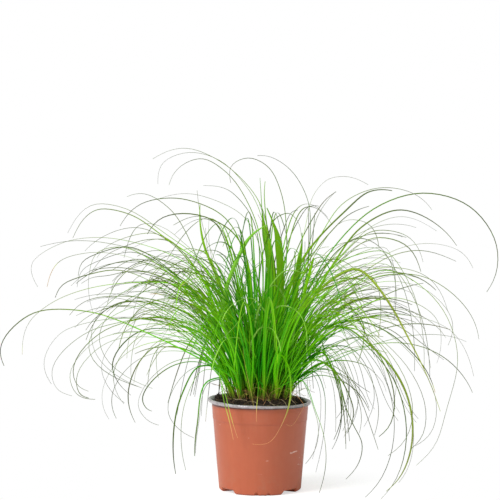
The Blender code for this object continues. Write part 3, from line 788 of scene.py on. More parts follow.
def buildSoil(chance):
    bed, thread = bedMaterial(), threadMaterial()
    turn = np.linspace(0.0, 2 * np.pi, soilSizes["columns"], endpoint=False)[None]
    floor = potSizes["channelHeight"] + potSizes["wall"] + soilSizes["floorGap"]
    inset = potSizes["wall"] + soilSizes["inset"]

    # Underside and side first, then the top as rings from the edge inwards
    levels = list(soilSizes["sideLevels"])
    radii = [*soilSizes["undersideRadii"], potSizes["baseRadius"] - soilSizes["edgeInset"]]
    radii += [wallRadius(level) - inset for level in levels]
    side = polar(np.array(radii)[:, None], turn, np.array([floor] * 3 + levels)[:, None])
    topRadii = soilSizes["topRadius"] * np.linspace(1.0, 0.0, soilSizes["rings"] + 1)[:-1] ** 0.8
    top = polar(topRadii[:, None], turn)
    top[..., 2] = soilHeight(top[..., 0], top[..., 1])
    points, faces = closedShell(np.concatenate([side, top]), floor * upward, top[-1, :, 2].mean() * upward)
    placePiece(newPiece("soil_bed", points, faces, [bed], smooth=60.0), "soil")
    for piece in (scatterCrumbs(bed, chance), layThreads(thread, chance)):
        placePiece(piece)


# Leaves. The strongest ones follow the solids: shoots stand on rings of the crown, and each carries three
tuft = {
    "crownHeight": 106.0,
    "gap": 0.3,
    "rings": ((33.0, 15, 4.0), (22.5, 12, 2.4), (12.0, 8, 1.2), (4.2, 3, 0.3)),  # radius, shoots, lean
    "leavesPerShoot": 3,
    "stemSides": 6,
    "stemRadius": 2.3,
    "stemHeight": 13.0,
    "steeperStart": 0.6,
    "stations": 11,
    "clearance": 0.5,
    "shifts": sorted(range(-48, 49, 3), key=abs),
    "viewDistance": 1550.0,
    "eyeSide": -11.65,
    "eyeHeight": 278.0,
    "groupWidth": 1.5,
    "groupTurn": 0.4,
    "groupSway": 5.0,
    "groupRise": (0.45, 0.72),  # shares of the apex's distance and height where a grouped leaf passes first
    # least share of the tip's distance, and the most that is added to it and to the height
    "groupTip": (0.85, 0.2, 30.0),
    "broadFacing": 0.7,
    "looseFacing": 0.8,
}

# What a broad blade's own group gives, as far as it goes: its width, the shares of its length between which
# it narrows, its tone, how dark its end gets, the share by which it opens, how dry it is (below zero: how
# pale its painted sheen is), the share from which it dries, and how far it faces the front
broadNames = ("broad", "narrowFrom", "narrowBy", "tone", "darkEnd", "opensBy", "dry", "dryFrom", "facing")

# Each strong leaf: width, depth of its tip behind the pot's axis, then the places (side, height) in the
# picture plane that it passes through, and a group of its own where it is broad. A third number in a place
# is its own depth
strongLeaves = (
    # arching over the top, to the left
    (1.3, 60, ((-12, 351), (-47, 382), (-90, 397), (-125, 384))),
    (1.2, -50, ((-17, 354), (-47, 383), (-86, 392), (-115, 378), (-119, 355))),
    (1.3, -90, ((-12, 329), (-35, 365), (-69, 385), (-98, 371), (-106, 354))),
    (1.5, 100, ((-23, 336), (-35, 347), (-66, 353))),
    (1.3, 40, ((-29, 325), (-52, 336), (-84, 344), (-120, 337))),
    (1.2, -60, ((-55, 326), (-103, 339), (-144, 329), (-163, 306))),
    (1.5, 20, ((-72, 264), (-84, 294), (-105, 326), (-140, 344), (-155, 340))),
    (1.5, 75, ((-70, 264), (-105, 288), (-155, 321), (-191, 325), (-218, 292))),
    (1.3, -105, ((-80, 262), (-110, 291), (-140, 304), (-186, 292), (-204, 277))),
    (1.3, 45, ((-82, 260), (-151, 288), (-190, 293), (-237, 284), (-267, 260), (-259, 235))),
    (1.2, -35, ((-99, 258), (-172, 285), (-214, 289), (-256, 282))),
    (1.2, 120, ((-110, 250), (-160, 272), (-207, 274), (-235, 264), (-248, 235))),
    (1.3, -130, ((-100, 250), (-151, 276), (-186, 266), (-207, 255), (-213, 235))),
    (2.2, -30, ((-58, 264), (-63, 276), (-69, 301), (-70, 331)), (3.2, 0.8, 1.0, 0.7, 0.3)),
    # upright in the middle
    (1.3, -45, ((31, 266), (31, 299), (26, 341), (8, 377), (-14, 386), (-34, 376), (-34, 356))),
    (1.3, 30, ((58, 278), (54, 342), (31, 376), (7, 388), (-3, 388))),
    (2.2, -85, ((-44, 212), (-36, 244), (-27, 266), (-10, 295), (8, 307)),
     (4.4, 0.84, 1.0, 0.35, 0.0, 0.6, -0.5, 0.0)),
    (1.3, 35, ((13, 251), (10, 274), (6, 299), (3, 318), (1, 348), (0, 362)), (8.6, 0.72, 0.86, 0.2, 0.3)),
    (1.3, -20, ((17, 250), (12, 281), (9, 299), (6, 325), (5, 348), (6, 358)), (4.6, 0.70, 0.82, 0.7, 0.3)),
    (2.5, -50, ((24, 240), (23, 272), (20, 296), (15, 311), (8, 327)), (9.0, 0.78, 0.95, 0.5, 0.2)),
    (1.4, 10, ((55, 250), (57, 290), (56, 328))),
    (1.3, 65, ((50, 262), (59, 290), (68, 319), (88, 346))),
    (1.2, 95, ((52, 300), (65, 347), (78, 360), (99, 364), (126, 354))),
    (1.3, -70, ((8, 290), (19, 316), (34, 321), (44, 312), (48, 294))),
    (1.3, 110, ((29, 278), (44, 311), (58, 329), (69, 329))),
    (2.4, -62, ((40, 208), (43, 240), (46, 264), (49, 284), (49, 298)), (7.0, 0.78, 0.98, 0.4, 0.2)),
    # arching over the top, to the right
    (1.9, -70, ((59, 281), (97, 321), (130, 347), (154, 347)), (4.4, 0.40, 0.74, 0.7, 1.2)),
    (1.4, 40, ((68, 290), (97, 333), (142, 351), (191, 336), (200, 325))),
    (1.5, 125, ((85, 302), (103, 319), (127, 329))),
    (1.3, -30, ((93, 290), (130, 325), (191, 345), (245, 329), (277, 280), (273, 243), (264, 229)),
     (1.7, 0.3, 0.9, 0.3, 2.2)),
    (1.8, -110, ((87, 264), (117, 304), (162, 325), (211, 304), (229, 283)), (3.0, 0.2, 0.8, 0.7, 2.2)),
    (1.4, 20, ((80, 262), (107, 292), (165, 308), (182, 304))),
    (1.2, 80, ((93, 270), (140, 311), (160, 317), (206, 300))),
    (1.2, -145, ((87, 262), (135, 301), (175, 292), (190, 264))),
    (1.2, 150, ((60, 230), (91, 263), (107, 276), (126, 281))),
    (1.3, 60, ((90, 240), (128, 263), (172, 283), (198, 286), (239, 272), (248, 257))),
    (1.4, -90, ((105, 270), (147, 276), (172, 243), (189, 186), (191, 139))),
    (1.5, 130, ((105, 262), (149, 270), (156, 250), (156, 196))),
    (1.2, 30, ((110, 250), (157, 258), (196, 246), (219, 206))),
    (1.4, -50, ((90, 225), (140, 248), (191, 247), (220, 231), (252, 189), (255, 174))),
    (1.3, 95, ((90, 215), (140, 241), (198, 229), (225, 190), (219, 167))),
    # falling to the right
    (2.3, -80, ((70, 232), (111, 256), (151, 215), (171, 178), (193, 135), (210, 90)),
     (3.9, 0.62, 0.92, 0.6, 1.6, 0.55, 0.24, -0.2, 1.0)),
    (1.4, -130, ((60, 180), (107, 206), (148, 182), (192, 136), (206, 99), (199, 64), (181, 50))),
    (2.8, -115, ((50, 170), (96, 189), (128, 167), (161, 131), (176, 90), (176, 47), (160, 9), (147, -3)),
     (3.9, 0.86, 1.0, 0.4, 2.4, 0.7, 0.14, 0.0)),
    (1.4, -60, ((100, 230), (140, 255), (210, 214), (231, 153), (216, 89), (206, 53), (182, 27))),
    (1.3, 50, ((95, 200), (163, 222), (207, 196), (210, 159), (206, 146))),
    (2.0, -75, ((40, 145), (68, 163), (90, 125), (99, 71), (100, 46)), (2.5, 0.6, 1.0, 0.3, 1.8, 0.4)),
    (1.3, -25, ((50, 150), (86, 167), (108, 131), (113, 90), (100, 65))),
    (1.4, 65, ((60, 155), (100, 166), (132, 121), (133, 103), (121, 72))),
    (1.3, 110, ((60, 165), (110, 190), (140, 150), (155, 101), (163, 88))),
    (1.8, -120, ((48, 126), (64, 92), (75, 59), (77, 38), (69, -5)), (2.2, 0.8, 1.0, 0.3, 1.5, 0.4)),
    (1.5, 20, ((46, 130), (62, 136), (75, 111), (76, 90), (65, 19))),
    (1.2, 45, ((40, 124), (70, 140), (99, 129), (120, 95))),
    (1.2, 150, ((80, 180), (133, 201), (179, 201), (220, 186), (249, 131))),
    # falling to the left
    (2.3, -20, ((-40, 133), (-71, 151), (-127, 179), (-205, 207), (-270, 202), (-303, 159), (-298, 143))),
    (1.3, 85, ((-82, 232), (-164, 239), (-205, 232), (-247, 214), (-270, 193), (-277, 156))),
    (1.4, -95, ((-60, 180), (-118, 200), (-161, 194), (-202, 182), (-243, 131), (-238, 117), (-219, 108))),
    (1.2, 135, ((-60, 175), (-120, 195), (-198, 194), (-233, 181), (-252, 142), (-243, 122))),
    (1.3, -145, ((-60, 160), (-130, 182), (-190, 173), (-222, 129), (-214, 110), (-192, 104))),
    (1.8, -50, ((-60, 205), (-117, 242), (-156, 231), (-197, 182), (-192, 157), (-172, 135), (-137, 117))),
    (1.4, 60, ((-60, 175), (-100, 190), (-151, 187), (-185, 138), (-174, 114), (-158, 100))),
    (1.3, -85, ((-45, 140), (-84, 152), (-107, 145), (-141, 92), (-129, 78), (-118, 74))),
    (1.2, 105, ((-60, 158), (-105, 172), (-154, 159), (-184, 101), (-176, 81))),
    (2.5, -60, ((-46, 140), (-71, 142), (-89, 114), (-101, 55), (-98, 17)), (2.8, 0.6, 1.0, 0.3, 0.9, 0.5)),
    (1.8, 10, ((-42, 128), (-57, 127), (-73, 74), (-76, 38)), (2.0, 0.5, 1.0, 0.2, 0.8)),
    (1.2, -115, ((-60, 215), (-99, 240), (-132, 238), (-146, 212), (-148, 198))),
    (1.3, 0, ((-60, 170), (-105, 192), (-140, 182), (-150, 150), (-150, 129))),
    # over the front of the lip
    (1.8, -62, ((-28, 132, -36), (-43, 145, -43), (-47, 137, -48), (-45, 124, -53), (-40, 110, -58.5),
                (-36, 93, -62), (-29, 68, -60), (-26, 59, -59)),
     (3.4, 0.5, 0.95, 0.5, 0.3, 0.13, 0.95, 0.68)),
    (1.4, -66, ((18, 138, -34), (24, 156, -40), (31, 146, -48), (35, 127, -56), (34, 101, -64.5),
                (25, 74, -64), (10, 53, -62), (-9, 52, -62)),
     (6.0, 0.55, 0.85, 0.9, 0.2, 0.13, 0.95, 0.52)),
)

# Strong leaves to the front and the back: number, heading in degrees from +X, apex distance and height, tip
# distance and height, each as a pair for the group's first and last leaf
leafGroups = (
    (9, (236, 304), (95, 125), (310, 270), (180, 215), (285, 200)),
    (9, (302, 240), (130, 110), (235, 215), (230, 215), (170, 150)),
    (9, (60, 124), (110, 95), (330, 310), (205, 225), (300, 230)),
    (9, (128, 56), (135, 150), (270, 245), (240, 255), (200, 150)),
    (9, (64, 120), (120, 110), (205, 190), (200, 190), (90, 60)),
)


def seen(side, height, depth):
    # The real place of a point that is seen at (side, height) in the picture plane, this far behind it
    grown = 1.0 + depth / tuft["viewDistance"]
    x = tuft["eyeSide"] + (side - tuft["eyeSide"]) * grown
    z = tuft["eyeHeight"] + (height - tuft["eyeHeight"]) * grown
    return np.array([x, depth, z])


def listStrongLeaves():
    leaves = []
    for width, depth, places, *broad in strongLeaves:
        leaf = {"width": width, "depth": depth, "places": places}
        if broad:
            leaf.update({"facing": tuft["broadFacing"], **dict(zip(broadNames, broad[0]))})
        leaves.append(leaf)
    riseFar, riseHigh = tuft["groupRise"]
    tipShare, tipMore, tipLift = tuft["groupTip"]
    for number, *pairs in leafGroups:
        for i in range(number):
            t = i / (number - 1)
            heading, apexFar, apexHigh, tipFar, tipHigh = (a + (b - a) * t for a, b in pairs)
            uneven = 0.5 + 0.5 * math.sin(2.4 * i + heading)
            out = polar(1.0, math.radians(heading + tuft["groupSway"] * math.sin(3.7 * i)))
            points = [
                riseFar * apexFar * out + riseHigh * apexHigh * upward,
                apexFar * out + apexHigh * upward,
                tipFar * (tipShare + tipMore * uneven) * out + (tipHigh + tipLift * uneven) * upward,
            ]
            leaves.append({"width": tuft["groupWidth"], "points": points})
    return leaves


def turnedRound(points, angle):
    # Points turned about the pot's axis
    x, y, z = np.moveaxis(points, -1, 0)
    c, s = np.cos(angle), np.sin(angle)
    return np.stack([x * c - y * s, x * s + y * c, z], axis=-1)


def pointsOf(leaf, base, shift):
    # The leaf's points in space. The shift swings a measured leaf in depth, and any other round the axis
    if "points" in leaf:
        return list(turnedRound(np.array(leaf["points"]), math.radians(shift * tuft["groupTurn"])))
    flat = [np.array(place[:2], dtype=float) for place in leaf["places"]]
    start = np.array([base[0], base[2]])
    lengths = np.cumsum([math.dist(a, b) for a, b in zip([start] + flat, flat)])
    points = []
    for place, length in zip(leaf["places"], lengths):
        share = (length / lengths[-1]) ** 1.3
        depth = place[2] if len(place) == 3 else base[1] + (leaf["depth"] + shift - base[1]) * share
        points.append(seen(place[0], place[1], depth))
    return points


def leastGaps(line, others):
    # The least distance from a line of points to each of a stack of such lines
    p, u = line[None, :-1, None], np.diff(line, axis=0)[None, :, None]
    q, v = others[:, None, :-1], np.diff(others, axis=1)[:, None]
    w = p - q
    uu, uv, vv = (u * u).sum(-1), (u * v).sum(-1), (v * v).sum(-1)
    uw, vw = (u * w).sum(-1), (v * w).sum(-1)
    spread = np.maximum(uu * vv - uv * uv, 1e-9)
    s = np.clip((uv * vw - vv * uw) / spread, 0.0, 1.0)
    t = np.clip((uv * s + vw) / vv, 0.0, 1.0)
    s = np.clip((uv * t - uw) / uu, 0.0, 1.0)
    return np.linalg.norm(w + s[..., None] * u - t[..., None] * v, axis=-1).min(axis=(1, 2))


def headingOf(leaf):
    points = pointsOf(leaf, np.array([0.0, 0.0, tuft["crownHeight"]]), 0.0)
    far = max(points, key=lambda p: math.hypot(p[0], p[1]))
    return math.atan2(far[1], far[0])


def steepness(leaf):
    first = pointsOf(leaf, np.array([0.0, 0.0, tuft["crownHeight"]]), 0.0)[0]
    return math.atan2(first[2] - tuft["crownHeight"], math.hypot(first[0], first[1]))


def shareOut(leaves):
    # Low leaves go to the outer ring, and each ring is filled in order of heading
    leaves = sorted(leaves, key=steepness)
    shoots = []
    each = tuft["leavesPerShoot"]
    for ringIndex, (radius, number, lean) in enumerate(tuft["rings"]):
        taken = number * each
        ring, leaves = sorted(leaves[:taken], key=headingOf), leaves[taken:]
        groups = [ring[i : i + each] for i in range(0, taken, each)]
        step = 2 * math.pi / number
        offsets = [headingOf(group[each // 2]) - j * step for j, group in enumerate(groups)]
        turn = math.atan2(sum(map(math.sin, offsets)), sum(map(math.cos, offsets)))
        for j, group in enumerate(groups):
            angle = turn + j * step
            foot = polar(radius, angle, tuft["crownHeight"] + tuft["gap"])
            top = foot + polar(lean, angle, tuft["stemHeight"])
            shoots.append({"foot": foot, "top": top, "angle": angle, "leaves": group, "ring": ringIndex,
                           "curves": [], "loose": []})
    return shoots


def leafCurve(leaf, start, shift):
    # The leaf's curve from the top of its stem, which it leaves a little more steeply than it goes on
    points = pointsOf(leaf, start, shift)
    rise = points[0] - start
    direction = rise / np.linalg.norm(rise) + tuft["steeperStart"] * upward
    return curveThrough([start] + points, direction / np.linalg.norm(direction))


def growStrongLeaves(shoots):
    # Each leaf swings a little where it would touch a leaf of another shoot, as the solids do
    stems = np.array([[shoot["foot"], shoot["top"]] for shoot in shoots])
    lines, widths, owners = [], [], []
    for n, shoot in enumerate(shoots):
        ordered = sorted(
            shoot["leaves"],
            key=lambda leaf: math.remainder(headingOf(leaf) - shoot["angle"], 2 * math.pi),
        )
        for k, leaf in enumerate(ordered):
            face = k - tuft["leavesPerShoot"] // 2
            turn = shoot["angle"] + face * 2 * math.pi / tuft["stemSides"]
            start = shoot["top"] + polar(0.5 * tuft["stemRadius"], turn)
            bestRoom, best = -math.inf, None
            for shift in tuft["shifts"]:
                curve = leafCurve(leaf, start, shift)
                line = evenly(curve, tuft["stations"], bends=1.0)
                gaps = leastGaps(line, stems) - (leaf["width"] + 2 * tuft["stemRadius"]) / 2
                gaps[n] = math.inf
                room = gaps.min()
                if lines:
                    gaps = leastGaps(line, np.array(lines)) - (leaf["width"] + np.array(widths)) / 2
                    gaps[np.array(owners) == n] = math.inf
                    room = min(room, gaps.min())
                if room > bestRoom:
                    bestRoom, best = room, (curve, line)
                if room > tuft["clearance"]:
                    break
            if bestRoom > tuft["clearance"] / 2:
                lines.append(best[1])
                widths.append(leaf["width"])
                owners.append(n)
                shoot["curves"].append((leaf, best[0]))


# Leaves that only the scene has, with what each row gives. Places are as the strong leaves have them
looseNames = ("width", "dry", "dryFrom", "depth", "places", "tone", "darkEnd")

looseLeaves = (
    # over the lip: a thin one at the left, pale threads in the middle and one bent at the right
    (1.3, 0.9, 0.60, -60, ((-44, 121, -44), (-43, 109, -57), (-41, 98, -63), (-38, 88, -62), (-35, 76, -60),
                           (-31, 57, -59))),
    (1.2, 0.6, 0.60, -60, ((14, 168, -28), (6, 190, -36), (-6, 197, -42), (-13, 193, -47), (-18, 183, -51),
                           (-20, 169, -55), (-19, 156, -58), (-16.5, 138, -60), (-12.6, 122, -62),
                           (-8.5, 102, -65), (-7, 93, -64))),
    (1.1, 0.95, 0.62, -60, ((-1, 125, -44), (-2, 116, -54), (-3, 104, -62), (-4, 92, -65), (-4, 78, -62))),
    (0.8, 1.0, -0.4, -50, ((38, 112, -34), (43, 108, -44), (51, 96, -50), (47, 88, -52), (34, 73, -56),
                           (31, 75, -57))),
    # across the front of the tuft, most with dryness below zero: a painted pale sheen
    (2.5, -1.0, -0.2, -118, ((28, 180), (27, 226), (18, 237), (4, 229), (-11, 215), (-26, 193),
                             (-54, 167))),
    (2.3, -1.0, -0.2, -112, ((2, 185), (14, 208), (24, 213), (40, 209), (49, 199), (54, 183), (54, 160))),
    (2.2, -0.9, -0.2, -120, ((-8, 175), (2, 188), (14, 186), (20, 176), (24, 160))),
    (2.2, -0.8, -0.2, -110, ((-28, 190), (-40, 222), (-52, 226), (-63, 216), (-74, 190), (-80, 168))),
    (2.2, -0.7, -0.2, -112, ((44, 200), (62, 232), (74, 234), (82, 222), (88, 196))),
    (2.2, -0.9, -0.2, -108, ((-10, 160), (-26, 176), (-40, 174), (-50, 158), (-56, 138))),
    (2.2, -0.9, -0.2, -122, ((20, 170), (6, 206), (-10, 222), (-30, 216), (-44, 196))),
    (2.2, -0.8, -0.2, -114, ((-6, 190), (12, 236), (30, 254), (48, 252), (62, 236))),
    (4.6, 0.0, 0.4, -82, ((40, 190), (49, 214), (53, 235), (59, 256), (63, 268), (66, 262)), 0.8, 0.1),
    # falling at the right
    (1.9, 0.0, 0.4, -30, ((46, 140), (66, 150), (83, 140), (102, 113), (109, 87), (101, 64))),
    (2.0, 0.0, 0.4, 20, ((50, 140), (72, 159), (86, 133), (94, 100), (94, 73), (84, 46))),
    (1.6, 0.0, 0.4, -100, ((44, 132), (56, 112), (62, 95), (68, 73), (66, 51), (53, 29))),
    (1.3, 0.0, 0.4, 60, ((52, 135), (74, 147), (95, 137), (109, 125), (128, 112))),
    (1.4, 0.0, 0.4, 90, ((60, 140), (102, 149), (125, 142), (136, 132), (144, 122), (147, 113))),
    (2.0, 0.0, 0.4, -90, ((60, 165), (100, 188), (128, 178), (149, 153), (158, 132), (156, 102))),
    (1.2, 0.0, 0.4, -10, ((50, 150), (86, 140), (98, 100), (109, 73), (119, 54), (117, 34), (100, 11))),
    (1.6, 0.0, 0.4, -60, ((62, 176), (110, 196), (146, 184), (176, 160), (196, 134), (204, 112))),
    (1.5, 0.0, 0.4, 40, ((66, 180), (120, 200), (160, 190), (190, 168), (214, 150))),
    # at the left
    (1.1, 0.0, 0.4, -60, ((-60, 165), (-110, 198), (-140, 202), (-151, 180), (-155, 152))),
    (1.2, 0.2, 0.4, -55, ((-50, 140), (-85, 168), (-116, 173), (-132, 159), (-142, 144), (-147, 123))),
    (1.1, 0.1, 0.4, 45, ((-48, 135), (-80, 160), (-112, 164), (-123, 150), (-132, 132))),
    (1.1, 0.0, 0.4, 70, ((-70, 210), (-120, 262), (-165, 282), (-190, 275), (-200, 243), (-195, 206))),
    (2.1, 0.1, 0.4, -55, ((-50, 190), (-75, 235), (-90, 240), (-103, 225), (-111, 211))),
    (1.1, 0.0, 0.4, 30, ((-76, 258), (-104, 289), (-125, 298), (-139, 297), (-161, 291), (-179, 282),
                         (-190, 269))),
    (1.0, 0.0, 0.4, -70, ((-74, 256), (-107, 289), (-139, 289), (-155, 283), (-173, 276), (-189, 263),
                          (-196, 252))),
    (1.1, 0.0, 0.4, -20, ((-70, 230), (-101, 252), (-131, 266), (-149, 267), (-165, 259), (-173, 254))),
    (1.0, 0.0, 0.4, 90, ((-74, 250), (-113, 291), (-131, 289), (-149, 280), (-161, 276))),
    (1.0, 0.0, 0.4, -100, ((-66, 205), (-100, 240), (-137, 253), (-161, 252), (-176, 248), (-196, 246),
                           (-208, 239))),
    (1.1, 0.0, 0.4, 50, ((-66, 215), (-93, 245), (-125, 252), (-143, 254), (-161, 251))),
    (1.0, 0.0, 0.4, -40, ((-60, 185), (-110, 216), (-150, 224), (-175, 224), (-189, 223), (-208, 216),
                          (-222, 202))),
)


def shareLooseLeaves(shoots):
    # Each loose leaf grows from the shoot that stands nearest to its first place
    for row in looseLeaves:
        leaf = {"facing": tuft["looseFacing"], **dict(zip(looseNames, row))}
        side, height, *depth = leaf["places"][0]
        first = seen(side, height, depth[0] if depth else 0.0)
        nearest = min(shoots, key=lambda shoot: math.dist(shoot["top"][:2], first[:2]))
        nearest["loose"].append((leaf, leafCurve(leaf, nearest["top"], 0.0)))


# Fine leaves fill the tuft. Where there are four values, they are for the rings from the outer one inwards
fineLeaves = {
    "perShoot": (8, 12, 11, 9),
    "tries": 9,
    "rise": ((62.0, 11.0), (70.0, 9.0), (76.0, 8.0), (81.0, 6.0)),  # mean and spread at the base in degrees
    "riseLimits": (28.0, 88.0),
    "headingSpread": (0.5, 0.8, 1.2, 3.0),
    "length": ((110.0, 320.0), (105.0, 300.0), (85.0, 265.0), (80.0, 260.0)),
    "lengthSkew": (1.5, 1.9),
    "width": (1.2, 2.8),
    "upperWidth": (0.75, 0.24),  # the upper part's least width, and the share of the blade's width added
    "spot": 3.2,
    "rootDepth": 2.0,
    "droop": (-62.0, 155.0, 350.0, 1.3, 18.0),  # least, what full length adds, that length, power, spread
    "straighter": (0.0, 6.0, 14.0, 18.0),
    "power": (1.4, 2.4),
    "drift": 0.35,
    "waves": (3.0, 4.0, 11.0),
    "stations": 34,
    "firstRise": 84.0,
    "sheathShare": 0.055,
}


def finePaths(start, rise, droop, power, length, heading, drift, wave):
    # A leaf's inclination starts steep in the sheath, opens to its own rise, and falls with a power of the
    # share of its length, while its heading drifts. The steps are summed along the leaf
    stations = fineLeaves["stations"]
    s = np.linspace(0.0, 1.0, stations)[None]
    middle = 0.5 * (s[:, 1:] + s[:, :-1])
    opening = (fineLeaves["firstRise"] - rise)[:, None] * np.exp(-middle / fineLeaves["sheathShare"])
    angle = rise[:, None] + opening - (rise + droop)[:, None] * middle ** power[:, None]
    angle = np.radians(angle + wave[:, :1] * np.sin(middle * wave[:, 1:2] + wave[:, 2:]))
    turn = heading[:, None] + drift[:, None] * middle**2
    step = (length / (stations - 1))[:, None]
    moves = np.stack([np.cos(angle) * np.cos(turn), np.cos(angle) * np.sin(turn), np.sin(angle)], axis=-1)
    travelled = np.cumsum(moves * step[..., None], axis=1)
    return start[:, None] + np.concatenate([np.zeros((len(start), 1, 3)), travelled], axis=1)


def randomWaves(count, swing, least, most, chance):
    # A leaf's sway: its swing in degrees, the radians of wave along the leaf, and where the wave starts
    return np.stack([chance.normal(0.0, swing, size=count), chance.uniform(least, most, size=count),
                     chance.uniform(0.0, 6.28, size=count)], axis=-1)


# What fine leaves keep clear of: the pot's lip, the floor, the outer reach and the space before the pot
roomyLimits = {
    "footStations": 4,
    "lipRadius": 66.0,
    "lipHeight": 109.0,
    "floor": 4.0,
    "reach": (262.0, 240.0, 388.0),
    "frontSide": 66.0,
    "frontDepth": -44.0,
    "frontHeight": 175.0,
}


def roomy(paths):
    # True for the paths that keep clear
    x, y, z = np.moveaxis(paths, -1, 0)
    late = np.arange(paths.shape[1]) >= roomyLimits["footStations"]
    inPot = late & (np.hypot(x, y) < roomyLimits["lipRadius"]) & (z < roomyLimits["lipHeight"])
    beyond = (np.abs(paths) > roomyLimits["reach"]).any(axis=-1) | (z < roomyLimits["floor"])
    inFront = (np.abs(x) < roomyLimits["frontSide"]) & (y < roomyLimits["frontDepth"])
    beforePot = late & inFront & (z < roomyLimits["frontHeight"])
    return ~(inPot | beyond | beforePot).any(axis=1)


def growFineLeaves(shoot, chance):
    ring = shoot["ring"]
    wanted = fineLeaves["perShoot"][ring]
    count = wanted * fineLeaves["tries"]
    spot = chance.uniform(0.0, 2 * np.pi, size=count)
    off = fineLeaves["spot"] * np.sqrt(chance.uniform(0.0, 1.0, size=count))
    start = shoot["foot"] + polar(off, spot, -fineLeaves["rootDepth"])
    heading = shoot["angle"] + chance.normal(0.0, fineLeaves["headingSpread"][ring], size=count)
    rise = np.clip(chance.normal(*fineLeaves["rise"][ring], size=count), *fineLeaves["riseLimits"])
    low, high = fineLeaves["length"][ring]
    length = low + (high - low) * chance.beta(*fineLeaves["lengthSkew"], size=count)
    least, more, fullLength, droopPower, spread = fineLeaves["droop"]
    droop = least + more * (length / fullLength) ** droopPower + chance.normal(0.0, spread, size=count)
    droop = droop - fineLeaves["straighter"][ring]
    power = chance.uniform(*fineLeaves["power"], size=count)
    drift = chance.normal(0.0, fineLeaves["drift"], size=count)
    waves = randomWaves(count, *fineLeaves["waves"], chance)
    paths = finePaths(start, rise, droop, power, length, heading, drift, waves)
    return paths[roomy(paths)][:wanted]


# Leaves beside the strong ones: the same curve, turned about its foot, drawn in or out and swayed. There
# are more beside the arching ones at the left and the low ones at the right, and fewer beside those that
# reach farthest to the side or highest, or fall steeply over the middle
siblingLeaves = {
    "usual": 2,
    "archPeaks": (250.0, 332.0),
    "lowPeak": 215.0,
    "lowMore": 2,
    "hairpin": (130.0, 270.0, 14.0),  # side reach, height and fall of the arcs over the middle
    "hairpinFewer": 3,
    "fewerSide": (185.0, 220.0, 245.0),
    "leftMore": 14.0,
    "fewerHeight": (332.0, 342.0, 352.0),
    "turn": 0.17,
    "drawn": ((0.74, 0.74, 0.8), (1.05, 1.05, 1.04)),
    "sway": 9.0,
    "spot": 2.2,
}


def growSiblings(paths, chance):
    side, high = np.abs(paths[..., 0]).max(axis=1), paths[..., 2].max(axis=1)
    leftward = paths[:, -1, 0] < 0
    archFrom, archTo = siblingLeaves["archPeaks"]
    nearby, lofty, fall = siblingLeaves["hairpin"]
    number = siblingLeaves["usual"] + ((high > archFrom) & (high < archTo) & leftward)
    number += siblingLeaves["lowMore"] * ((high < siblingLeaves["lowPeak"]) & ~leftward)
    hairpin = (side < nearby) & (high > lofty) & (high - paths[:, -1, 2] > fall)
    number -= siblingLeaves["hairpinFewer"] * hairpin
    limits = np.array(siblingLeaves["fewerSide"]) + siblingLeaves["leftMore"] * leftward[:, None]
    number -= (side[:, None] > limits).sum(axis=1)
    number -= (high[:, None] > np.array(siblingLeaves["fewerHeight"])).sum(axis=1)
    paths = np.repeat(paths, np.maximum(number, 0), axis=0)
    count, stations = paths.shape[:2]
    turn = chance.normal(0.0, siblingLeaves["turn"], size=(count, 1))
    drawn = chance.uniform(*siblingLeaves["drawn"], size=(count, 1, 3))
    sway = chance.normal(0.0, siblingLeaves["sway"], size=(count, 1, 3))
    spot = chance.normal(0.0, siblingLeaves["spot"], size=(count, 1, 3)) * np.array([1.0, 1.0, 0.0])
    foot = paths[:, :1]
    share = np.linspace(0.0, 1.0, stations)[:, None]
    grown = foot + spot + turnedRound(paths - foot, turn) * drawn + sway * share**2
    return grown[roomy(grown)]


# The section of a leaf: two edges that stand out and up from a keel, drawn along the path. The blade opens
# over the sheath, narrows from its own width to that of its upper part, and ends in a hair
bladeForm = {
    "sheathWidth": 0.45,
    "fold": (0.72, 0.255, 0.5),  # the edges' angle at the foot and beyond, and the share where that begins
    "thickness": (0.2, 0.8),  # in millimetres, and at most this share of the half width
    "end": (0.8, 0.5, 1.5),  # share where the end starts, how far it narrows, power
    "smooth": 38.0,
    "strongStations": 48,
    "strongUpper": (338.0, 0.6, 0.8),  # peak height, and the share of a leaf's width above it and below it
    "strongWidth": (0.7, 1.5),  # the lower part's least width, and the share of the upper one added
    "footShift": 0.6,  # share of a leaf's place on its stem that its foot has too
    "stemSteps": 11,
    "stemBends": 0.25,
    "smoothings": 3,
}

# What a leaf has where nothing else is given. A tone or a dark end below zero is left to chance and place
usualForm = {"narrowFrom": 0.05, "narrowBy": 0.8, "opensBy": 0.13, "twist": 0.9, "facing": 0.15,
             "hair": 0.42, "dryFrom": 0.4, "tone": -1.0, "darkEnd": -1.0}
strongForm = {**usualForm, "twist": 0.4, "facing": 0.45, "hair": 0.5,
              "width": 0.0, "dry": 0.0, "broad": 0.0}


